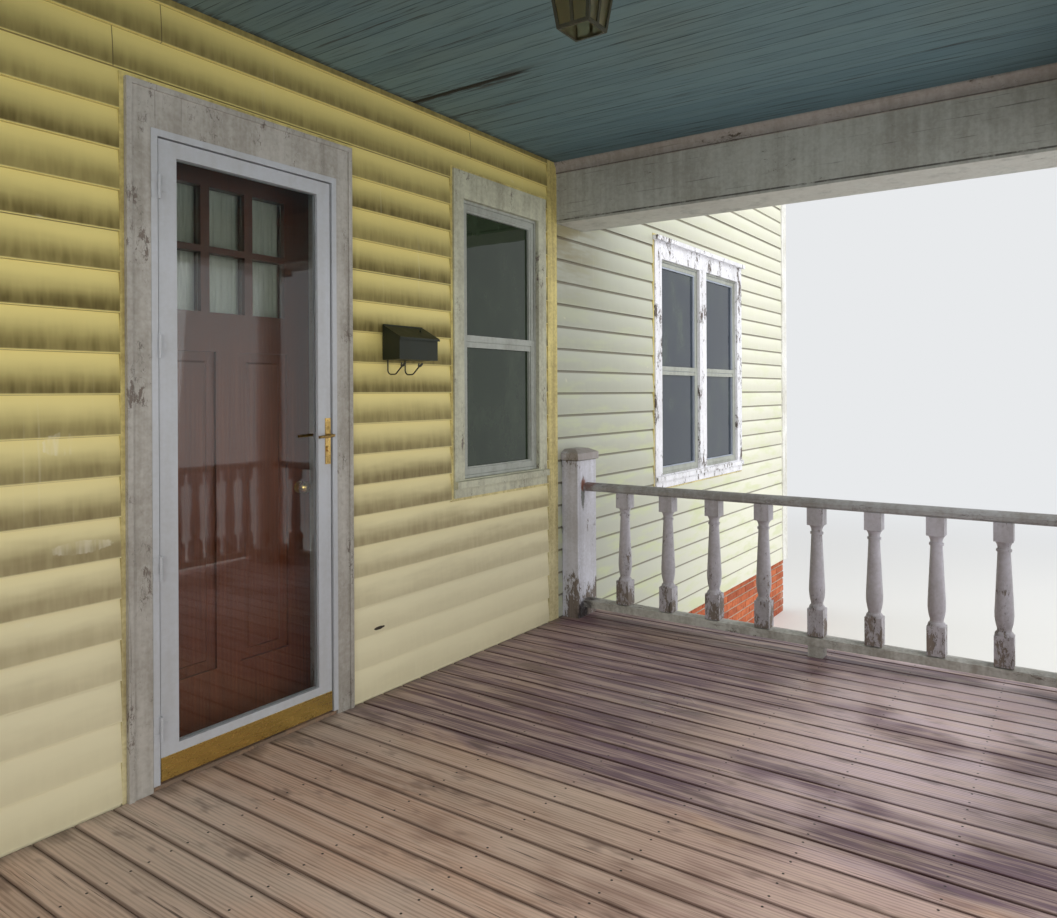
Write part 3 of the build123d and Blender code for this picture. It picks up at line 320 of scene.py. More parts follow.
def buildGrain():
    # Wood grain along the local Z of the vector: long streaks, fine fibres and a few dark checks
    given, out = newGroup("woodGrain", {"Scale": 1.0}, ["Tone", "Checks", "Fibres"])
    scaled = measure("MULTIPLY", given["Vector"], given["Scale"])
    broad = noise(stretch(scaled, (16, 16, 1.1)), 2.0, 2, 0.6, 0.4)
    fibres = noise(stretch(scaled, (90, 90, 2.2)), 2.0, 2, 0.6)
    checks = noise(stretch(scaled, (60, 60, 1.3)), 1.6, 3, 0.75)
    link(plus(times(broad, 0.6), times(fibres, 0.4)), out, "Tone")
    link(ramp(checks, 0.62, 0.7), out, "Checks")
    link(fibres, out, "Fibres")


def buildPeel():
    # Old paint: 1 where it has come off, in ragged flakes with cracks beside them
    inputs = {"Amount": 0.3, "Scale": 1.0}
    given, out = newGroup("peeledPaint", inputs, ["Bare", "Edge", "Cracks"])
    scaled = measure("MULTIPLY", given["Vector"], given["Scale"])
    patches = noise(scaled, 7.0, 2, 0.6)
    ragged = noise(scaled, 38.0, 4, 0.75, 0.5)
    limit = minus(0.72, times(given["Amount"], 0.3))
    excess = minus(plus(times(patches, 0.5), times(ragged, 0.5)), limit)
    link(ramp(excess, 0.0, 0.008), out, "Bare")
    link(ramp(excess, -0.03, 0.0), out, "Edge")
    cells = {"Vector": scaled, "Scale": 70.0}
    crackle = put("TexVoronoi", cells, feature="DISTANCE_TO_EDGE").outputs[0]
    link(times(ramp(crackle, 0.05, 0.0), ramp(excess, -0.09, -0.02)), out, "Cracks")


def buildGrime():
    # Dirt: 0 clean to 1 dirty, cloudy, with streaks that run down
    given, out = newGroup("grime", {"Amount": 0.5}, ["Mask"])
    clouds = noise(given["Vector"], 2.6, 4, 0.65)
    streaks = noise(stretch(given["Vector"], (26, 26, 1.4)), 1.0, 2, 0.6)
    specks = noise(given["Vector"], 60.0, 1, 0.7)
    spread = ramp(plus(times(clouds, 0.5), times(streaks, 0.3), times(specks, 0.2)), 0.36, 0.66)
    link(times(spread, given["Amount"], clamp=True), out, "Mask")


buildGrain()
buildPeel()
buildGrime()

alongX = (0, pi / 2, 0)  # turns that lay the grain along an axis
alongY = (pi / 2, 0, 0)
alongZ = (0, 0, 0)


def shaded(colour, share):
    return tint(*[min(255, share * part) for part in colour])


def paintedWood(name, pieces, coat, wear, wood=(118, 108, 100), dirt=(112, 104, 90), grime=0.5, footWear=None,
                turn=alongZ, flakeScale=1.0, cracked=0.0, rough=0.55):
    # Old paint on wood. footWear is (height, height, extra): the wear grows between two heights
    shader, place = newMaterial(name, pieces)
    turned = stretch(place, (1, 1, 1), turn)
    grain = useGroup("woodGrain", turned, Scale=1.0)
    amount = wear
    if footWear:
        low, high, extra = footWear
        amount = plus(ramp(split(place)[2], low, high, extra, 0.0), wear)
    flaky = stretch(turned, (1.3, 1.3, 0.55))
    peel = useGroup("peeledPaint", flaky, Amount=amount, Scale=flakeScale)
    dirty = useGroup("grime", place, Amount=grime)
    bare = blend(grain["Tone"], shaded(wood, 0.62), shaded(wood, 1.3))
    bare = blend(grain["Checks"], bare, shaded(wood, 0.4))
    top = blend(dirty["Mask"], tint(*coat), tint(*dirt))
    top = blend(times(grain["Checks"], cracked), top, shaded(dirt, 0.35))
    top = blend(times(peel["Cracks"], 0.55), top, shaded(dirt, 0.5))
    top = blend(times(peel["Edge"], 0.25), top, shaded(dirt, 0.75))
    link(blend(peel["Bare"], top, bare), shader)
    link(plus(times(peel["Bare"], 0.3), rough), shader, "Roughness")
    height = minus(times(grain["Fibres"], 0.35), times(peel["Bare"], 0.8))
    bumpy(shader, height, 0.6, 0.0016)


def openColour(name):  # its shader, what its colour comes from and the place on the piece
    tree = bpy.data.materials[name].node_tree
    shader = next(part for part in tree.nodes if part.type == "BSDF_PRINCIPLED")
    below = shader.inputs["Base Color"].links[0].from_socket
    return shader, below, put("TexCoord", tree=tree).outputs["Object"]


def addBand(name, low, high, colour, strength):
    # Another colour between two heights over what the material already shows
    shader, below, place = openColour(name)
    inside = calc("COMPARE", split(place)[2], (low + high) / 2, (high - low) / 2)
    ragged = ramp(noise(place, 9.0, 4, 0.7), 0.3, 0.5)
    link(blend(times(inside, strength, ragged), below, tint(*colour)), shader)


def addSpot(name, centre, size, colour, strength):
    # A ragged stain round a point
    shader, below, place = openColour(name)
    spread = measure("LENGTH", measure("DIVIDE", measure("SUBTRACT", place, centre), size))
    ragged = plus(spread, noise(place, 45.0, 5, 0.75))
    link(blend(ramp(ragged, 1.6, 1.15, 0.0, strength), below, tint(*colour)), shader)


# Camera and light

camera = {
    "place": (-1.81, -2.47, 2.176),
    "heading": 34.86,  # degrees from +X towards +Y
    "roll": -0.275,
    "focal": 27.43,  # millimetres on a 36 mm sensor
    "shiftY": -0.063,
}


def buildCamera():
    data = bpy.data.cameras.new("porchCamera")
    data.sensor_width = 36
    data.sensor_fit = "HORIZONTAL"
    data.lens = camera["focal"]
    data.shift_y = camera["shiftY"]
    data.clip_start = 0.02
    obj = bpy.data.objects.new("porchCamera", data)
    turn = Matrix.Rotation(radians(camera["heading"] - 90), 4, "Z") @ Matrix.Rotation(pi / 2, 4, "X")
    roll = Matrix.Rotation(radians(camera["roll"]), 4, "Z")
    obj.matrix_world = Matrix.Translation(camera["place"]) @ turn @ roll
    scene.collection.objects.link(obj)
    scene.camera = obj


studio = {
    "floorSize": 60,
    "floorColour": (232, 232, 230),
    "backColour": (232, 234, 236),
    "fade": (6.0, 15.0),
    "skyStrength": 0.6,
    "lamps": [  # name, place, aimed at, width, height, watts
        ("lowLamp", (0.6, -8.0, 2.6), (0.2, 0, 1.5), 8, 3, 150),
        ("highLamp", (1.5, -8.5, 9.0), (1.2, -1.5, 0.9), 8, 5, 640),
        ("rightLamp", (9.5, -6.0, 3.6), (3.4, 0, 1.6), 5, 4, 110),
        ("leftLamp", (-7.5, -4.5, 3.0), (0, -0.5, 1.6), 4, 3, 170),
        ("backLamp", (1.0, 9.0, 5.0), (1.0, 0, 2.0), 8, 4, 320),
    ],
}


def buildStudio():
    scene.view_settings.view_transform = "Standard"
    world = bpy.data.worlds.new("paleStudio")
    scene.world = world
    world.use_nodes = True
    tree = world.node_tree
    tree.nodes.clear()
    path = put("LightPath", tree=tree).outputs
    bounced = most(path["Is Glossy Ray"], path["Is Transmission Ray"])
    seen = most(path["Is Camera Ray"], bounced)
    plain = {"Color": tint(*studio["backColour"]), "Strength": 1.0}
    light = {"Color": (1, 1, 1, 1), "Strength": studio["skyStrength"]}
    plain, light = [put("Background", look, tree).outputs[0] for look in (plain, light)]
    mixed = put("MixShader", {0: seen, 1: light, 2: plain}).outputs[0]
    put("OutputWorld", {0: mixed})
    for name, place, aim, width, height, watts in studio["lamps"]:
        data = bpy.data.lights.new(name, "AREA")
        data.shape = "RECTANGLE"
        data.size, data.size_y = width, height
        data.energy = watts
        lamp = bpy.data.objects.new(name, data)
        lamp.location = place
        lamp.rotation_euler = (Vector(aim) - Vector(place)).to_track_quat("-Z", "Y").to_euler()
        lamp.visible_camera = False
        lamp.visible_glossy = False
        scene.collection.objects.link(lamp)
    deselectAll()
    bpy.ops.mesh.primitive_plane_add(size=studio["floorSize"], location=(0, 0, 0))
    floor = justAdded("studioFloor")
    shader, place = newMaterial("paleFloor", ["studioFloor"], 0.9)
    # Far out the floor fades into the backdrop
    far = ramp(measure("LENGTH", place), *studio["fade"])
    link(blend(far, tint(*studio["floorColour"]), (0, 0, 0, 1)), shader)
    shader.inputs["Specular IOR Level"].default_value = 0.0
    shader.inputs["Emission Color"].default_value = tint(*studio["backColour"])
    link(far, shader, "Emission Strength")


buildCamera()
buildStudio()
print("Camera and studio ready")


# Siding

siding = {
    "foot": 0.525,  # underside of the lowest course
    "exposure": 0.127,
    "strip": 1.975,  # X of the vertical strips that end the porch wall
    "clean": [(228, 220, 184), (226, 210, 132)],  # low down and high up on the porch
    # Beside the beam the outside colour is grime and painted shade of the porch roof
    "outside": [(178, 181, 166), (230, 230, 212)],  # beyond the strips, beside the beam and far out
    # These dirt colours are dirt and painted shade at the foot of each course
    "dirt": [(146, 130, 96), (96, 84, 40)],  # low down and high up
    "washed": (226, 220, 186),
    "algae": (196, 206, 140),
    "stain": (120, 104, 52),
    # painted shadow under each lap
    "darkEdge": (88, 76, 54),
    "seam": (78, 66, 38),
    "scrape": (232, 226, 204),
    "hole": (44, 34, 22),
    "seams": [(-0.34, 22), (-0.5, 21), (1.255, 22)],  # X of a joint and its course
    "broken": (0.624, 1.183, 0.032, 0.007),  # X, Z, half width and half height
    "scraped": [(-0.66, 2.03, 0.05, 0.035), (-0.86, 1.95, 0.04, 0.05), (-0.6, 1.72, 0.09, 0.02)],
}


def buildSiding():
    shader, place = newMaterial("lapSiding", ["siding"])
    x, _, z = split(place)
    course = over(minus(z, siding["foot"]), siding["exposure"])
    lap, row = calc("FRACT", course), calc("FLOOR", course)
    aside = calc("ABSOLUTE", x)
    high = ramp(z, 1.15, 2.35)
    beyond = calc("GREATER_THAN", aside, siding["strip"])
    # Each course darkens toward its foot from another height and thickness: dirt, and painted shade of the
    # crowned lap
    cloudy = noise(stretch(place, (1.3, 1, 6.0)), 1.6, 3, 0.64)
    edge = plus(times(minus(cloudy, 0.5), ramp(z, 1.3, 2.3, 0.9, 0.28)), lap)
    fine = noise(stretch(place, (30, 1, 5)), 1.0, 2, 0.7)
    band = times(ramp(lap, 0.0, 0.05), ramp(edge, 0.9, 0.1), ramp(fine, 0.2, 0.75, 0.78, 1.0))
    own = plus(times(randomOf(row), 0.25), 0.8)
    strength = times(ramp(z, 1.08, 1.75, 0.25, 1.0), own, ramp(beyond, 0, 1, 1, 0.22))
    # How dark each point is: dirt and painted shade of the lap
    dirty = times(band, strength, clamp=True)
    # Beyond the strips: grime and painted porch shade beside the beam, paler far out
    farOut = between(ramp(aside, 2.2, 5.4), siding["outside"])
    clean = blend(beyond, between(high, siding["clean"]), farOut)
    colour = blend(dirty, clean, between(high, siding["dirt"]))
    # Rain has washed narrow pale runs through the dirt, and rubbed spots show the clean face. Green
    # film low down beyond the porch, brown stain under the beam ends, painted shadow under each lap
    washed = ramp(noise(stretch(place, (22, 1, 0.8)), 1.0, 2, 0.6), 0.66, 0.74)
    rubbed = noise(stretch(place, (2.2, 1, 3.2), (0, 0.5, 0)), 5.0, 1, 0.6)
    # Painted shadow under the butt of each lap, wider beyond the strips
    tuck = most(ramp(lap, 0.975, 1.0), times(beyond, ramp(lap, 0.86, 0.91)))
    colour = cover(
        colour, siding,
        ("washed", most(times(washed, 0.55), ramp(rubbed, 0.74, 0.84)), 0.45),
        ("algae", beyond, ramp(cloudy, 0.46, 0.66), ramp(z, 3.0, 1.2, 0.2, 0.75), 0.6),
        ("stain", ramp(z, 2.55, 3.1), ramp(aside, 2.75, 2.1), beyond, ramp(cloudy, 0.3, 0.6), 0.7),
        ("darkEdge", tuck, 0.75),
    )
    # Joints between lengths of siding, a few scraped places and one broken edge
    for middle, joined in siding["seams"]:
        joint = ramp(distance(x, middle), 0.0022, 0.001)
        colour = cover(colour, siding, ("seam", calc("COMPARE", row, joined, 0.5), joint, 0.8))
    ragged = noise(place, 60.0, 1, 0.6)
    for name, marks in (("scrape", siding["scraped"]), ("hole", [siding["broken"]])):
        shown = ramp(fine, 0.4, 0.65, 0.0, 0.4) if name == "scrape" else 1.0
        for middle, height, wide, tall in marks:
            across, above = over(minus(x, middle), wide), over(minus(z, height), tall)
            spread = plus(times(across, across), times(above, above), ragged)
            colour = cover(colour, siding, (name, ramp(spread, 1.6, 1.3), shown))
    link(colour, shader)
    link(ramp(dirty, 0, 1, 0.42, 0.75), shader, "Roughness")
    bumpy(shader, noise(stretch(place, (1.1, 1, 4)), 2.0, 1, 0.4), 0.3, 0.005)


trim = {
    "clean": [(224, 214, 168), (224, 208, 132)],  # low down and high up
    "cornerPost": (240, 240, 236),
    "cornerPostX": 5.0,  # past this X the trim is the white corner post
    "dirt": [(128, 108, 56), (176, 172, 156)],  # on the trim and on that post
}


def buildTrim():
    shader, place = newMaterial("sidingTrim", ["siding_trim"])
    x, _, z = split(place)
    dirty = useGroup("grime", place, Amount=0.75)["Mask"]
    outside = calc("GREATER_THAN", x, trim["cornerPostX"])
    clean = cover(between(ramp(z, 1.1, 2.3), trim["clean"]), trim, ("cornerPost", outside))
    link(blend(dirty, clean, between(outside, trim["dirt"])), shader)
    bumpy(shader, noise(place, 30.0, 3), 0.2, 0.001)


# Boards

boards = {
    "deck": {
        "pitch": 0.1153,  # board and gap
        "line": 0.4095,  # X of the gap beside the doorway, where the wide gaps begin
        "gaps": (0.003, 0.0105),  # left and right of that line
        "ease": 0.0022,
    },
    "ceiling": {"pitch": 0.083, "line": 0.093, "gaps": (0.001, 0.001), "ease": 0.0016},
}


def buildBoards(name, node):
    # Boards that run out from the wall, left and right of one joint, cut to the CAD slab at both sides
    low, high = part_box(node)
    pitch, line, gaps, ease = boards[node].values()
    runs = []
    for side, gap, reach in ((-1, gaps[0], line - low.x), (1, gaps[1], high.x - line)):
        start = (line if side > 0 else line - pitch) + gap / 2
        board = addBlock(name, (start, low.y, low.z), (start + pitch - gap, high.y, high.z), ease, 2)
        repeat(board, int(reach / pitch) + 1, (side * pitch, 0, 0))
        cutAway(board, (low.x if side < 0 else high.x, 0, 0), (side, 0, 0))
        runs.append(board)
    laid = joinAll(name, runs)
    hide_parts(node)
    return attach(laid, "root")


def boardCell(across, style):
    # Which board a point is on, as a number, and its place across the board from 0 to 1
    place = over(minus(across, style["line"]), style["pitch"])
    return calc("FLOOR", place), calc("FRACT", place)


deckLook = {
    "worn": (206, 186, 170),  # bare, grey tan wood beside the door
    "brown": (208, 174, 152),  # old stain, left and far out
    "dark": (116, 90, 106),  # damp stain on the right, its purple tint a painted sky reflection
    "paintedSunlight": (238, 214, 222),  # painted sunlit patches far out on the right
    "soaked": (104, 70, 56),
    "figure": (96, 66, 50),
    "grain": (226, 200, 182),
    "crack": (50, 34, 28),
    "mould": (80, 62, 56),
    # dirt and painted shade along the board edges beside the gaps
    "edge": (76, 48, 38),
    "dust": (110, 98, 84),
    "nail": (52, 44, 40),
    "joistStep": 0.36,  # nails stand over the joists
    "nailPlace": 0.28,  # from the middle of a board, as a share of its pitch
    "nailSize": (0.0042, 0.0032),  # outer and inner radius of its soft edge
}


def buildDeck():
    shader, place = newMaterial("deckWood", ["deckBoards"])
    look = deckLook
    x, y, _ = split(place)
    out = times(y, -1.0)
    cell, across = boardCell(x, boards["deck"])
    own = randomOf(cell)
    slide = put("CombineXYZ", {0: times(own, 31.0), 1: times(own, 17.0)}).outputs[0]
    moved = measure("ADD", place, slide)
    grain = useGroup("woodGrain", stretch(moved, (1, 1, 1), alongY), Scale=0.9)
    patches = noise(stretch(place, (1, 0.6, 1)), 1.5, 3, 0.64)
    small = noise(stretch(moved, (3, 1, 1)), 3.2, 3, 0.7)
    soaked = noise(stretch(place, (1, 0.8, 1), (0, 0, 0), (4, 2, 0)), 1.7, 3, 0.72)
    # Bare beside the door, damp and dark on the right, painted sunlit patches far out
    ragged = plus(x, times(minus(small, 0.5), 0.28))
    trodden = times(ramp(out, 0.9, 1.5), ramp(patches, 0.42, 0.6), 0.6)
    damp = times(ramp(ragged, 0.36, 0.52), minus(1.0, trodden))
    wood = cover(
        tint(*look["brown"]), look,
        ("worn", ramp(patches, 0.36, 0.58), ramp(out, 1.75, 0.7), ramp(x, -1.2, -0.5)),
        ("dark", damp),
        # Painted sunlight far out on the right
        ("paintedSunlight", ramp(out, 1.2, 1.9), ramp(patches, 0.42, 0.52), ramp(x, 0.2, 0.9, 0.35, 1.0), 0.8),
        ("soaked", ramp(soaked, 0.52, 0.66), 0.45),
    )
    vary = between(plus(times(own, 0.34), 0.83), [(0, 0, 0), (255, 255, 255)])
    wood = blend(1.0, wood, vary, "MULTIPLY")
    # Two nails a board over every joist
    step = look["joistStep"]
    along = times(minus(calc("FRACT", over(plus(out, step / 2), step)), 0.5), step)
    aside = times(minus(distance(across, 0.5), look["nailPlace"]), boards["deck"]["pitch"])
    nail = ramp(calc("SQRT", plus(times(along, along), times(aside, aside))), *look["nailSize"])
    # Cathedral figure of flat-sawn boards, grain, checks, mould, dark edges of dirt and painted shade beside
    # the gaps, and dust by the wall
    figure = figured(stretch(moved, (1, 0.09, 1)), 26.0, 5.5, 1.4, 0.6)
    wood = cover(
        wood, look,
        ("figure", ramp(figure, 0.35, 0.8), 0.3),
        ("grain", ramp(grain["Tone"], 0.42, 0.62), 0.5),
        ("crack", grain["Checks"], 0.75),
        ("mould", ramp(small, 0.56, 0.7), 0.5),
        ("edge", most(ramp(across, 0.1, 0.03), ramp(across, 0.9, 0.97)), 0.65),
        ("dust", ramp(out, 0.09, 0.0), ramp(small, 0.3, 0.6), 0.6),
        ("nail", nail),
    )
    link(wood, shader)
    wet = times(ramp(x, 0.7, 1.4), ramp(out, 0.5, 1.1), ramp(patches, 0.42, 0.6), 0.3)
    link(minus(ramp(damp, 0, 1, 0.72, 0.46), wet), shader, "Roughness")
    bumpy(shader, times(minus(grain["Fibres"], nail), 0.6), 0.5, 0.002)


ceilingLook = {
    "coats": [(96, 124, 132), (108, 136, 142)],
    "faded": (110, 128, 124),
    "bluer": (84, 116, 132),  # near the beam on the right
    "grain": (66, 88, 96),
    "check": (34, 40, 42),
    "rot": (30, 26, 22),
    "bare": [(58, 50, 44), (120, 106, 92)],
    # darker within a few centimetres of the wall
    "darkEdge": (38, 34, 28),
    "gape": (14, 12, 10),
    "seam": (40, 52, 56),
    "rotten": [(0.845, 0.075, 0.85), (1.1, 0.03, 0.62)],  # X, half width and reach from the wall
    "open": (0.835, 0.02),  # X of the open joint and how far it wanders
}


def buildCeiling():
    shader, place = newMaterial("ceilingPaint", ["ceilingBoards"], 0.7)
    look = ceilingLook
    x, y, _ = split(place)
    out = times(y, -1.0)
    cell, across = boardCell(x, boards["ceiling"])
    grain = useGroup("woodGrain", stretch(place, (1, 1, 1), alongY), Scale=1.3)
    flaky = stretch(place, (2.6, 0.32, 1))
    peel = useGroup("peeledPaint", flaky, Amount=0.1, Scale=1.6)
    clouds = noise(place, 1.1, 3, 0.6)
    fissures = noise(stretch(place, (55, 1.3, 1)), 1.0, 4, 0.76)
    streaky = noise(stretch(place, (34, 2.0, 1)), 1.6, 4, 0.8)
    # Two rotten board joints run out from the wall, one of them open
    tongues = []
    for middle, spread, reach in look["rotten"]:
        beside = ramp(distance(x, middle), spread, spread * 0.25)
        tongues.append(times(beside, ramp(out, reach, reach * 0.45)))
    rot = most(*tongues)
    start, wander = look["open"]
    gape = distance(x, plus(times(streaky, wander), start))
    coat = cover(
        between(randomOf(cell), look["coats"]), look,
        ("faded", ramp(clouds, 0.4, 0.65, 0.0, 0.5)),
        ("bluer", ramp(x, 0.9, 2.0, 0.0, 0.55)),
        ("grain", ramp(grain["Tone"], 0.5, 0.36), 0.5),
        ("check", ramp(fissures, 0.59, 0.67), 0.8),
        ("rot", rot, ramp(streaky, 0.44, 0.56), 0.95),
    )
    lost = most(peel["Bare"], times(rot, ramp(streaky, 0.6, 0.66)))
    colour = blend(times(lost, 0.8), coat, between(grain["Tone"], look["bare"]))
    seam = most(ramp(across, 0.04, 0.01), ramp(across, 0.96, 0.99))
    colour = cover(
        colour, look,
        ("darkEdge", ramp(out, 0.05, 0.0), ramp(streaky, 0.35, 0.55), 0.8),
        ("gape", ramp(gape, 0.017, 0.009), ramp(out, 0.66, 0.56)),
        ("seam", seam, ramp(clouds, 0.4, 0.55, 0.4, 1.0), 0.5),
    )
    link(colour, shader)
    bumpy(shader, grain["Fibres"], 0.6, 0.002)


deckBoards = buildBoards("deckBoards", "deck")
ceilingBoards = buildBoards("ceilingBoards", "ceiling")
print("Boards laid")


# Brickwork

brick = {
    "length": 0.203,
    "joint": 0.010,
    "height": 0.0585,
    "depth": 0.097,
    "ease": 0.004,
    "recess": 0.006,  # how far the mortar lies behind the brick faces
    "mortarEase": 0.001,
    "pierSide": 0.3,
    "piersAcross": 4,
}


def coursesBetween(low, high):  # how many courses fill that height, and the rise of one
    count = round((high.z - low.z) / (brick["height"] + brick["joint"]))
    return count, (high.z - low.z + brick["joint"]) / count


def brickCourses(name, low, high):
    # Running bond between two corners, one wythe deep, courses alternating by half a brick
    courses, rise = coursesBetween(low, high)
    step = brick["length"] + brick["joint"]
    pair = []
    for turn in range(2):
        left, foot = low.x - step * (1 + turn / 2), low.z + turn * rise
        end = left + brick["length"], high.y, foot + rise - brick["joint"]
        row = addBlock(name, (left, low.y, foot), end, brick["ease"])
        repeat(row, int((high.x - low.x) / step) + 3, (step, 0, 0))
        repeat(row, (courses + 1 - turn) // 2, (0, 0, 2 * rise))
        pair.append(row)
    wall = joinAll(name, pair)
    cutAway(wall, low, (-1, 0, 0))
    return cutAway(wall, high, (1, 0, 0))


def buildFoundation():
    low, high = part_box("foundation_wall")
    inset = Vector((brick["recess"], brick["recess"], 0))
    core = addBlock("foundationMortar", low + inset, high - inset, brick["mortarEase"])
    front = brickCourses("frontBricks", low, Vector((high.x, low.y + brick["depth"], high.z)))
    back = brickCourses("backBricks", Vector((low.x, high.y - brick["depth"], low.z)), high)
    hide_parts("foundation_wall")
    return core, joinAll("foundationBricks", [front, back])


def buildPiers():
    # Each course is a pinwheel of four bricks round a mortar core, turned over in the next course
    low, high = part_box("brick_piers")
    courses, rise = coursesBetween(low, high)
    half = brick["pierSide"] / 2
    long, deep = [brick[side] - brick["joint"] / 2 for side in ("length", "depth")]
    bricks = []
    for turn, left in enumerate((-half, half - long)):
        for spin in range(4):
            foot = low.z + turn * rise
            end = left + long, deep - half, foot + rise - brick["joint"]
            one = addBlock("pierBrick", (left, -half, foot), end, brick["ease"])
            one.rotation_euler = (0, 0, spin * pi / 2)
            settle(one)
            repeat(one, (courses + 1 - turn) // 2, (0, 0, 2 * rise))
            bricks.append(one)
    inner = half - brick["recess"]
    core = addBlock("pierMortar", (-inner, -inner, low.z), (inner, inner, high.z), brick["mortarEase"])
    step = (high.x - low.x - brick["pierSide"]) / (brick["piersAcross"] - 1)
    places = [(low.x + half + index * step, y, 0) for index in range(brick["piersAcross"])
              for y in (low.y + half, high.y - half)]
    made = []
    for name, first in (("allPierBricks", joinAll("pierBricks", bricks)), ("allPierMortar", core)):
        copies = [copyTo(first, place) for place in places]
        bpy.data.objects.remove(first)
        made.append(joinAll(name, copies))
    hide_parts("brick_piers")
    return made[1], made[0]


brickLook = {
    "faces": [(164, 82, 52), (206, 116, 74)],
    "course": 0.0665,  # colours change from course to course by this height
    "blotch": (120, 60, 44),
    "bloom": (214, 184, 160),
    "sand": [(150, 140, 126), (196, 188, 172)],
    "dirt": (116, 108, 92),
}


def buildBrick():
    shader, place = newMaterial("redBrick", ["foundationBricks", "allPierBricks"], 0.85)
    step = brick["length"] + brick["joint"]
    sizes = step, step, brickLook["course"]
    cell = {index: calc("FLOOR", over(axis, sizes[index])) for index, axis in enumerate(split(place))}
    cell = put("CombineXYZ", cell).outputs[0]
    own = put("TexWhiteNoise", {"Vector": cell}, noise_dimensions="3D").outputs[0]
    blotches = noise(place, 26.0, 3, 0.7)
    bloom = noise(place, 3.0, 5, 0.7)
    colour = cover(
        between(own, brickLook["faces"]), brickLook,
        ("blotch", ramp(blotches, 0.42, 0.7, 0.0, 0.55)),
        ("bloom", ramp(bloom, 0.55, 0.75, 0.0, 0.5)),
    )
    link(colour, shader)
    bumpy(shader, blotches, 0.6, 0.0015)


def buildMortar():
    shader, place = newMaterial("oldMortar", ["foundationMortar", "allPierMortar"], 0.95)
    sand = noise(place, 180.0, 3, 0.7)
    dirt = ramp(noise(place, 4.0, 4), 0.45, 0.7, 0, 0.6)
    link(cover(between(sand, brickLook["sand"]), brickLook, ("dirt", dirt)), shader)
    bumpy(shader, sand, 0.6, 0.002)


for piece in (*buildFoundation(), *buildPiers()):
    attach(piece, "root")
print("Bricks laid")


# Paint and finish

paints = {  # pieces, coat, wear from 0 to 1, and what else differs from plain old paint
    "casingPaint": (["door_casing", "door_frame"], (182, 178, 170), 0.36, {"grime": 0.6, "cracked": 0.35}),
    "windowPaint": (["window_casings"], (196, 196, 172), 0.34, {"grime": 0.6, "cracked": 0.25}),
    "twinPaint": (["twin_window_casing"], (238, 238, 244), 0.5,
                  {"wood": (96, 88, 84), "dirt": (150, 146, 140), "grime": 0.35}),
    "postPaint": (["newels"], (208, 208, 218), 0.3, {"grime": 0.4, "footWear": (0.98, 1.22, 0.5)}),
    "balusterPaint": (["end_balusters_left", "end_balusters_right", "front_balusters_left",
                       "front_balusters_right"], (190, 187, 195), 0.34,
                      {"grime": 0.45, "footWear": (1.04, 1.22, 0.42), "flakeScale": 1.8}),
    "columnPaint": (["corner_columns"], (212, 210, 214), 0.26, {"grime": 0.4, "footWear": (0.95, 1.3, 0.4)}),
    "beamPaint": (["end_beams"], (186, 189, 183), 0.2,
                  {"wood": (104, 98, 90), "turn": alongY, "cracked": 0.5}),
    "frontBeamPaint": (["front_beam"], (186, 189, 183), 0.2,
                       {"wood": (104, 98, 90), "turn": alongX, "cracked": 0.5}),
    "crownPaint": (["beam_crown"], (172, 166, 162), 0.36,
                   {"wood": (92, 82, 72), "turn": alongY, "cracked": 0.3}),
    "eavesPaint": (["eaves"], (212, 212, 206), 0.3, {"grime": 0.45}),
    "topRailPaint": (["top_rails"], (168, 168, 170), 0.45,
                     {"wood": (134, 130, 128), "grime": 0.6, "turn": alongY}),
    "bottomRailPaint": (["bottom_rails"], (198, 198, 192), 0.42, {"grime": 0.7, "turn": alongY}),
    "sillPaint": (["door_sill"], (150, 120, 96), 0.6, {"wood": (122, 104, 88), "grime": 0.6, "turn": alongX}),
    "frameWood": (["deck_frame", "step_stringers"], (150, 136, 116), 0.8,
                  {"wood": (138, 124, 106), "grime": 0.6, "turn": alongX}),
    "riserPaint": (["step_risers"], (204, 202, 198), 0.4, {"turn": alongX}),
    "treadWood": (["step_treads"], (170, 146, 130), 0.55,
                  {"wood": (146, 122, 104), "dirt": (104, 84, 74), "turn": alongX}),
    "wallPlaster": (["front_wall_left", "front_wall_right", "front_wall_end", "front_wall_at_door"],
                    (216, 212, 200), 0.0, {"grime": 0.15, "rough": 0.8}),
}

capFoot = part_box("newels")[1].z - 0.062  # under the caps of the posts
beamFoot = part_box("end_beams")[0].z
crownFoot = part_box("beam_crown")[0].z

bands = [  # paints, Z of their piece, from and to above it, colour, strength
    (["postPaint"], capFoot, 0, 0.07, (136, 126, 116), 0.75),
    (["postPaint"], capFoot, -0.004, 0.002, (70, 60, 52), 0.8),
    (["beamPaint", "frontBeamPaint"], beamFoot, 0.012, 0.02, (58, 54, 48), 0.85),
    (["beamPaint", "frontBeamPaint"], beamFoot, -0.001, 0.001, (206, 204, 196), 0.55),
    (["crownPaint"], crownFoot, 0, 0.006, (66, 56, 50), 0.7),
]

spots = [  # paint, centre, reach along each axis, colour, strength: rust and rot at the wall post, then two dark spots where its foot meets the bottom rail
    ("postPaint", (2.125, -0.103, 1.6), (0.022, 0.02, 0.1), (70, 72, 56), 0.85),
    ("postPaint", (2.13, -0.103, 1.65), (0.03, 0.02, 0.04), (120, 66, 44), 0.8),
    ("topRailPaint", (2.17, -0.13, 1.65), (0.06, 0.05, 0.05), (118, 72, 56), 0.6),
    ("postPaint", (2.12, -0.103, 0.93), (0.06, 0.05, 0.07), (40, 34, 34), 0.9),
    ("bottomRailPaint", (2.17, -0.13, 0.97), (0.06, 0.06, 0.06), (56, 48, 44), 0.8),
]

for name, (*look, others) in paints.items():
    paintedWood(name, *look, **others)
for names, foot, low, high, colour, strength in bands:
    for name in names:
        addBand(name, foot + low, foot + high, colour, strength)
for spot in spots:
    addSpot(*spot)


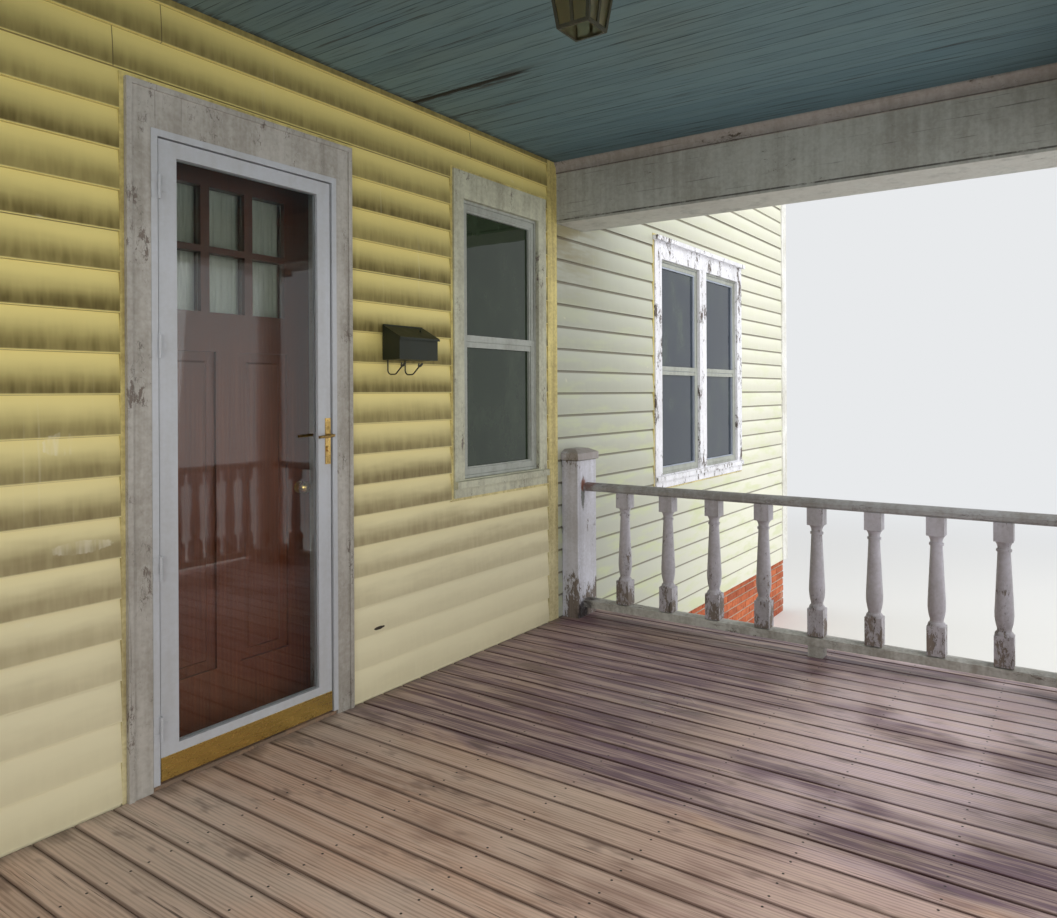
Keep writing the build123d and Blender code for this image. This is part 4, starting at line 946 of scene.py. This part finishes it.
def coatedMetal(name, pieces, colour, roughness, dirt, grime, dents=0.1):
    shader, place = newMaterial(name, pieces, roughness)
    dirty = useGroup("grime", place, Amount=grime)["Mask"]
    link(between(dirty, [colour, dirt]), shader)
    link(ramp(dirty, 0, 1, roughness, roughness + 0.25), shader, "Roughness")
    bumpy(shader, noise(place, 22.0, 3), dents, 0.001)


def brassFinish(name, pieces, bright, dull, amount, along=(1, 1, 1)):
    shader, place = newMaterial(name, pieces, 0.32, 1.0)
    worn = noise(stretch(place, along), 9.0, 6, 0.7)
    fleck = noise(place, 90.0, 3, 0.6)
    mask = ramp(plus(times(worn, 0.7), times(fleck, 0.3)), 0.4, 0.62, 0.0, amount)
    link(between(mask, [bright, dull]), shader)
    link(ramp(mask, 0, 1, 0.26, 0.6), shader, "Roughness")
    bumpy(shader, fleck, 0.15, 0.0006)


def clearGlass(name, pieces, colour, roughness=0.02):
    shader = newMaterial(name, pieces, roughness)[0]
    settings = {"Transmission Weight": 1.0, "IOR": 1.45, "Base Color": tint(*colour)}
    for key, value in settings.items():
        shader.inputs[key].default_value = value


def darkPane(name, pieces, colour, dust, dustAndReflection):
    # A pane with an unlit room behind it: dark as painted shade of that room, mirror smooth,
    # with paler green blotches at the edges that are dust and painted reflection of trees
    shader, place = newMaterial(name, pieces, 0.04)
    mask = ramp(noise(stretch(place, (1, 1, 0.6)), 2.2, 5, 0.65), 0.45, 0.75, 0.0, dustAndReflection)
    link(between(mask, [colour, dust]), shader)
    link(ramp(mask, 0, 1, 0.03, 0.5), shader, "Roughness")
    bumpy(shader, noise(place, 3.0, 2), 0.25, 0.004)


doorLook = {
    "grain": [(84, 38, 20), (150, 80, 48)],
    "figure": (88, 40, 22),
    "check": (52, 26, 16),
    "shade": (34, 18, 12),
    "shadeHeight": (1.9, 2.7),  # from none to full shade
}


def buildDoorWood():
    shader, place = newMaterial("doorWood", ["inner_leaf"], 0.4)
    grain = useGroup("woodGrain", place, Scale=0.8)
    colour = cover(
        between(grain["Tone"], doorLook["grain"]), doorLook,
        ("figure", figured(stretch(place, (1, 1, 0.08)), 18.0, 6.0, 1.5), 0.35),
        ("check", grain["Checks"], 0.4),
        ("shade", ramp(split(place)[2], *doorLook["shadeHeight"], 0.0, 0.6)),
    )
    link(colour, shader)


roofLook = {
    "grains": [(52, 50, 48), (120, 114, 106)],
    "tab": (72, 66, 60),
    "blotch": (66, 70, 58),
}


def buildRoofing():
    shader, place = newMaterial("roofShingles", ["roof_left", "roof_right", "roof_front"], 0.9)
    grains = noise(place, 420.0, 2, 0.8)
    cells = {"Vector": stretch(place, (3.4, 3.4, 28)), "Scale": 1.0}
    cell = put("TexVoronoi", cells).outputs["Color"]
    tone = put("SeparateColor", {0: cell}).outputs[0]
    blotch = ramp(noise(place, 4.0, 5, 0.7), 0.5, 0.75, 0.0, 0.5)
    colour = cover(between(grains, roofLook["grains"]), roofLook, ("tab", tone, 0.5), ("blotch", blotch))
    link(colour, shader)
    bumpy(shader, grains, 0.6, 0.001)


metals = {  # pieces, colour, roughness, dirt, grime, dents
    "stormPaint": (["storm_leaf", "storm_frame", "storm_hinge_leaves"], (186, 189, 194), 0.36,
                   (150, 146, 134), 0.3, 0.06),
    "sashPaint": (["window_sashes"], (168, 172, 164), 0.45, (110, 108, 94), 0.5),
    "twinSashPaint": (["twin_window_sashes"], (170, 178, 192), 0.45, (116, 118, 122), 0.4),
    "mailboxPaint": (["mailbox_box", "mailbox_lid"], (22, 31, 19), 0.5, (46, 46, 30), 0.45),
    "lanternIron": (["mailbox_hooks", "lantern_frame"], (40, 44, 34), 0.5, (86, 76, 52), 0.35),
}

brasses = {  # pieces, bright, dull, share of dull, stretch of the wear
    "agedBrass": (["storm_lock_plates", "storm_lever", "inner_knobs", "inner_hinge_leaves",
                   "inner_frame_hinges", "curtain_rod"], (228, 192, 120), (140, 112, 66), 0.7),
    "sweepBrass": (["storm_sweep"], (232, 206, 124), (196, 166, 90), 0.5, (2, 2, 12)),
}

glasses = {  # pieces, colour, roughness
    "stormGlass": (["storm_glass"], (246, 250, 248)),
    "litePanes": (["inner_panes"], (240, 244, 240)),
    "lanternGlass": (["lantern_panes"], (226, 214, 176), 0.45),
}

darkPanes = {  # pieces, colour, dust and its strength; the porch pane's green is painted reflection of trees, and the dust colour is partly painted reflection
    "porchPane": (["window_glass"], (30, 44, 24), (96, 110, 86), 0.25),
    "twinPane": (["twin_window_glass"], (44, 52, 62), (96, 110, 86), 0.4),
}

finishes = (metals, coatedMetal), (brasses, brassFinish), (glasses, clearGlass), (darkPanes, darkPane)
for table, make in finishes:
    for name, look in table.items():
        make(name, *look)
buildSiding()
buildTrim()
buildDeck()
buildCeiling()
buildBrick()
buildMortar()
buildDoorWood()
buildRoofing()
print("Finishes on")


# Storm windows: nested metal frames before each sash

stormWindows = {
    "openings": [  # left and right X, bottom and top Z, meeting Z
        (-1.825, -1.185, 1.76, 3.11, 2.427),
        (1.185, 1.825, 1.76, 3.11, 2.427),
        (3.365, 4.035, 1.59, 3.11, 2.327),
        (4.165, 4.835, 1.59, 3.11, 2.327),
    ],
    "track": (0.001, 0.014, 0.008),  # inset, width and how far it stands proud
    "upper": (0.018, 0.026, 0.004),
    "lower": (0.016, 0.031, 0.007),
    "overlap": 0.03,  # the lower frame rises this far over the meeting line
    "ease": 0.001,
}


def buildStormWindows():
    style = stormWindows
    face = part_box("window_sashes")[0].y
    rings = []
    for left, right, bottom, top, meeting in style["openings"]:
        for part, low, high in (
            ("track", bottom + style["track"][0], top - style["track"][0]),
            ("upper", meeting - style["overlap"], top - style["upper"][0]),
            ("lower", bottom + style["lower"][0], meeting + style["overlap"]),
        ):
            inset, width, proud = style[part]
            near, far = (left + inset, face - proud, low), (right - inset, face, high)
            rings.append(addRing("stormRing", near, far, width, style["ease"]))
    frames = joinAll("stormWindowFrames", rings)
    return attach(frames, "root")


paint("sashPaint", [buildStormWindows().name])
print("Storm windows on")


# Small ironwork: leaf ends of the mailbox hooks, lock cylinder and screws of the storm door

hardware = {
    "leafSize": (0.013, 0.005, 0.024),
    "leafPlace": (0.003, -0.002, 0.043),  # in from the end of the hooks, out and up from their corner
    "leafAside": 0.007,  # of two leaves, to each side of that place
    "leafTurn": (0.5, 0.6),  # forward and to the side
    "cylinder": (0.0115, 0.008, 0.75),  # radius, depth and width as a share of the height
    "cylinderPlace": (-0.002, 0.06),  # out from the plate and up from its foot
    "screw": (0.0028, 0.0024),  # radius and depth
    "screwInset": 0.01,
}


def addKnob(name, centre, size, turn):  # an oval ball of that size
    deselectAll()
    bpy.ops.mesh.primitive_uv_sphere_add(segments=20, ring_count=12, radius=0.5, location=centre,
                                         rotation=turn, scale=size)
    return smooth(settle(justAdded(name)), 60)


def addDisc(name, centre, radius, depth, flatten=1.0):
    # A short cylinder that looks out from the wall face
    deselectAll()
    bpy.ops.mesh.primitive_cylinder_add(vertices=24, radius=radius, depth=depth, location=centre,
                                        rotation=(pi / 2, 0, 0), scale=(flatten, 1, 1))
    return smooth(settle(justAdded(name)), 40)


def buildHookLeaves():
    low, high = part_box("mailbox_hooks")
    inset, out, up = hardware["leafPlace"]
    forward, aside = hardware["leafTurn"]
    leaves = []
    for x in (low.x + inset, high.x - inset):
        for side in (-1, 1):
            place = x + side * hardware["leafAside"], low.y + out, low.z + up
            leaves.append(addKnob("hookLeaf", place, hardware["leafSize"], (forward, side * aside, 0)))
    return joinAll("hookLeaves", leaves)


def buildLockFittings():
    low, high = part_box("storm_lock_plates")
    middle = (low.x + high.x) / 2
    out, up = hardware["cylinderPlace"]
    fittings = [addDisc("lockCylinder", (middle, low.y + out, low.z + up), *hardware["cylinder"])]
    for z in (low.z + hardware["screwInset"], high.z - hardware["screwInset"]):
        fittings.append(addDisc("plateScrew", (middle, low.y, z), *hardware["screw"]))
    return joinAll("lockFittings", fittings)


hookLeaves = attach(buildHookLeaves(), "root")
paint("lanternIron", [hookLeaves.name])
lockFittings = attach(buildLockFittings(), "storm_door")
paint("agedBrass", [lockFittings.name])
print("Fittings on")


# Shingles: courses of tabs on the three slopes, with caps along the hips and the ridge

shingles = {
    "tab": 0.305,
    "gap": 0.005,
    "exposure": 0.143,
    "lap": 0.02,
    "thick": 0.006,
    "capWidth": 0.12,
    "capStep": 0.13,
    "capTail": 0.04,  # under the next lower cap
    "capLift": 0.0156,
    "overhang": 0.012,
    "pitch": 14.0,  # degrees, as the CAD roof
    "eaveRise": 0.042,  # of the slopes above the foot of the CAD roof
    "wallGap": 0.001,
}


def shingleCourses(width, depth):
    # A flat field: X along the eave, Y up the slope, each second course half a tab over
    style = shingles
    rows = int(depth / style["exposure"]) + 2
    end = style["exposure"] + style["lap"], 2 * style["thick"]
    fields = []
    for turn in range(2):
        left = -style["tab"] * (1 + turn / 2)
        right = left + style["tab"] - style["gap"]
        tab = addBlock("shingleTab", (left, 0, style["thick"]), (right, *end))
        tab.rotation_euler = (-style["thick"] / style["exposure"], 0, 0)
        settle(tab)
        shift(tab, (0, turn * style["exposure"] - style["overhang"], 0))
        repeat(tab, int(width / style["tab"]) + 3, (style["tab"], 0, 0))
        repeat(tab, (rows + 1 - turn) // 2, (0, 2 * style["exposure"], 0))
        fields.append(tab)
    return joinAll("shingles", fields)


def capRow(start, angle, length):
    # Caps along a hip or ridge, from its low end
    style = shingles
    end = style["capStep"] + style["lap"], style["capWidth"], style["thick"]
    cap = addBlock("cap", (-style["capTail"], -style["capWidth"], 0), end)
    cap.rotation_euler = (0, style["thick"] / style["capStep"], 0)
    settle(cap)
    repeat(cap, int(length / style["capStep"]) + 2, (style["capStep"], 0, 0))
    cap.rotation_euler = (0, 0, angle)
    cap.location = (*start, style["capLift"])
    return settle(cap)


def buildSlope(name, origin, turn, width, depth, hips, cuts):
    slope = joinAll(name, [shingleCourses(width, depth)] + [capRow(*hip) for hip in hips])
    tilt = Matrix.Rotation(radians(shingles["pitch"]), 4, "X")
    slope.matrix_world = Matrix.Translation(origin) @ Matrix.Rotation(turn, 4, "Z") @ tilt
    settle(slope)
    for point, normal in cuts:
        cutAway(slope, point, normal)
    return slope


def buildShingles():
    low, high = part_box("roof_front")
    half, out = high.x, -low.y
    rise = half / cos(radians(shingles["pitch"]))
    steep = atan2(rise, half)
    hip = sqrt(half * half + rise * rise)
    left, right = [Vector((x, low.y, low.z + shingles["eaveRise"])) for x in (low.x, high.x)]
    wall = (0, -shingles["wallGap"], 0), (0, 1, 0)
    slopes = [
        buildSlope("shinglesFront", left, 0.0, 2 * half, rise,
                   [((0, 0), steep, hip), ((2 * half, 0), pi - steep, hip)],
                   [(left, (-1, 1, 0)), (right, (1, 1, 0)), (left, (-1, 0, 0)), (right, (1, 0, 0))]),
        buildSlope("shinglesLeft", Vector((left.x, 0, left.z)), -pi / 2, out, rise,
                   [((out, 0), pi - steep, hip), ((0, rise), 0.0, out - half)],
                   [(left, (1, -1, 0)), ((0, 0, 0), (1, 0, 0)), wall, (left, (0, -1, 0))]),
        buildSlope("shinglesRight", right, pi / 2, out, rise,
                   [((0, 0), steep, hip), ((half, rise), 0.0, out - half)],
                   [(right, (-1, -1, 0)), ((0, 0, 0), (-1, 0, 0)), wall, (right, (0, -1, 0))]),
    ]
    return joinAll("shingles", slopes)


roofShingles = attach(buildShingles(), "root")
paint("roofShingles", [roofShingles.name])
print("Shingles laid")


# Curtain on the inner door

curtain = {
    "folds": 27,
    "depth": 0.0042,  # half the depth of a fold
    "drift": 0.0022,  # how far every second fold leans aside at the top
    "rows": 16,
    "stepsPerFold": 8,
    "cotton": [(214, 212, 200), (240, 238, 230)],
    "shade": (186, 182, 164),
}


def buildCotton():
    shader, place = newMaterial("sheerCotton", ["liteCurtain"], 0.9)
    weave = noise(stretch(place, (500, 1, 500)), 1.0, 2)
    shade = ramp(noise(stretch(place, (14, 1, 1.2)), 1.0, 3), 0.45, 0.7, 0, 0.3)
    link(cover(between(weave, curtain["cotton"]), curtain, ("shade", shade)), shader)
    bumpy(shader, weave, 0.3, 0.0004)


def buildCurtain():
    low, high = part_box("door_curtain")
    width, length = high.x - low.x, high.z - low.z
    across = curtain["folds"] * curtain["stepsPerFold"]
    deselectAll()
    bpy.ops.mesh.primitive_grid_add(x_subdivisions=across, y_subdivisions=curtain["rows"], size=1)
    cloth = justAdded("liteCurtain")
    cloth.rotation_euler = (pi / 2, 0, 0)
    cloth.scale = (width, length, 1)
    cloth.location = (low + high) / 2
    settle(cloth)
    for vertex in cloth.data.vertices:
        share = (vertex.co.x - low.x) / width
        fall = (vertex.co.z - low.z) / length
        turn = 2 * pi * curtain["folds"] * share
        sway = 0.7 * sin(share * 17.0) + 0.5 * sin(share * 41.0 + 2.0 * fall)
        uneven = 0.75 + 0.25 * sin(9.0 * share + fall)
        vertex.co.y += curtain["depth"] * sin(turn + sway) * uneven
        vertex.co.x += curtain["drift"] * sin(turn / 2 + 3.0 * fall) * fall
    smooth(cloth, 180)
    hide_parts("door_curtain")
    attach(cloth, "inner_door")
    return cloth


buildCurtain()
buildCotton()
print("Curtain hung")
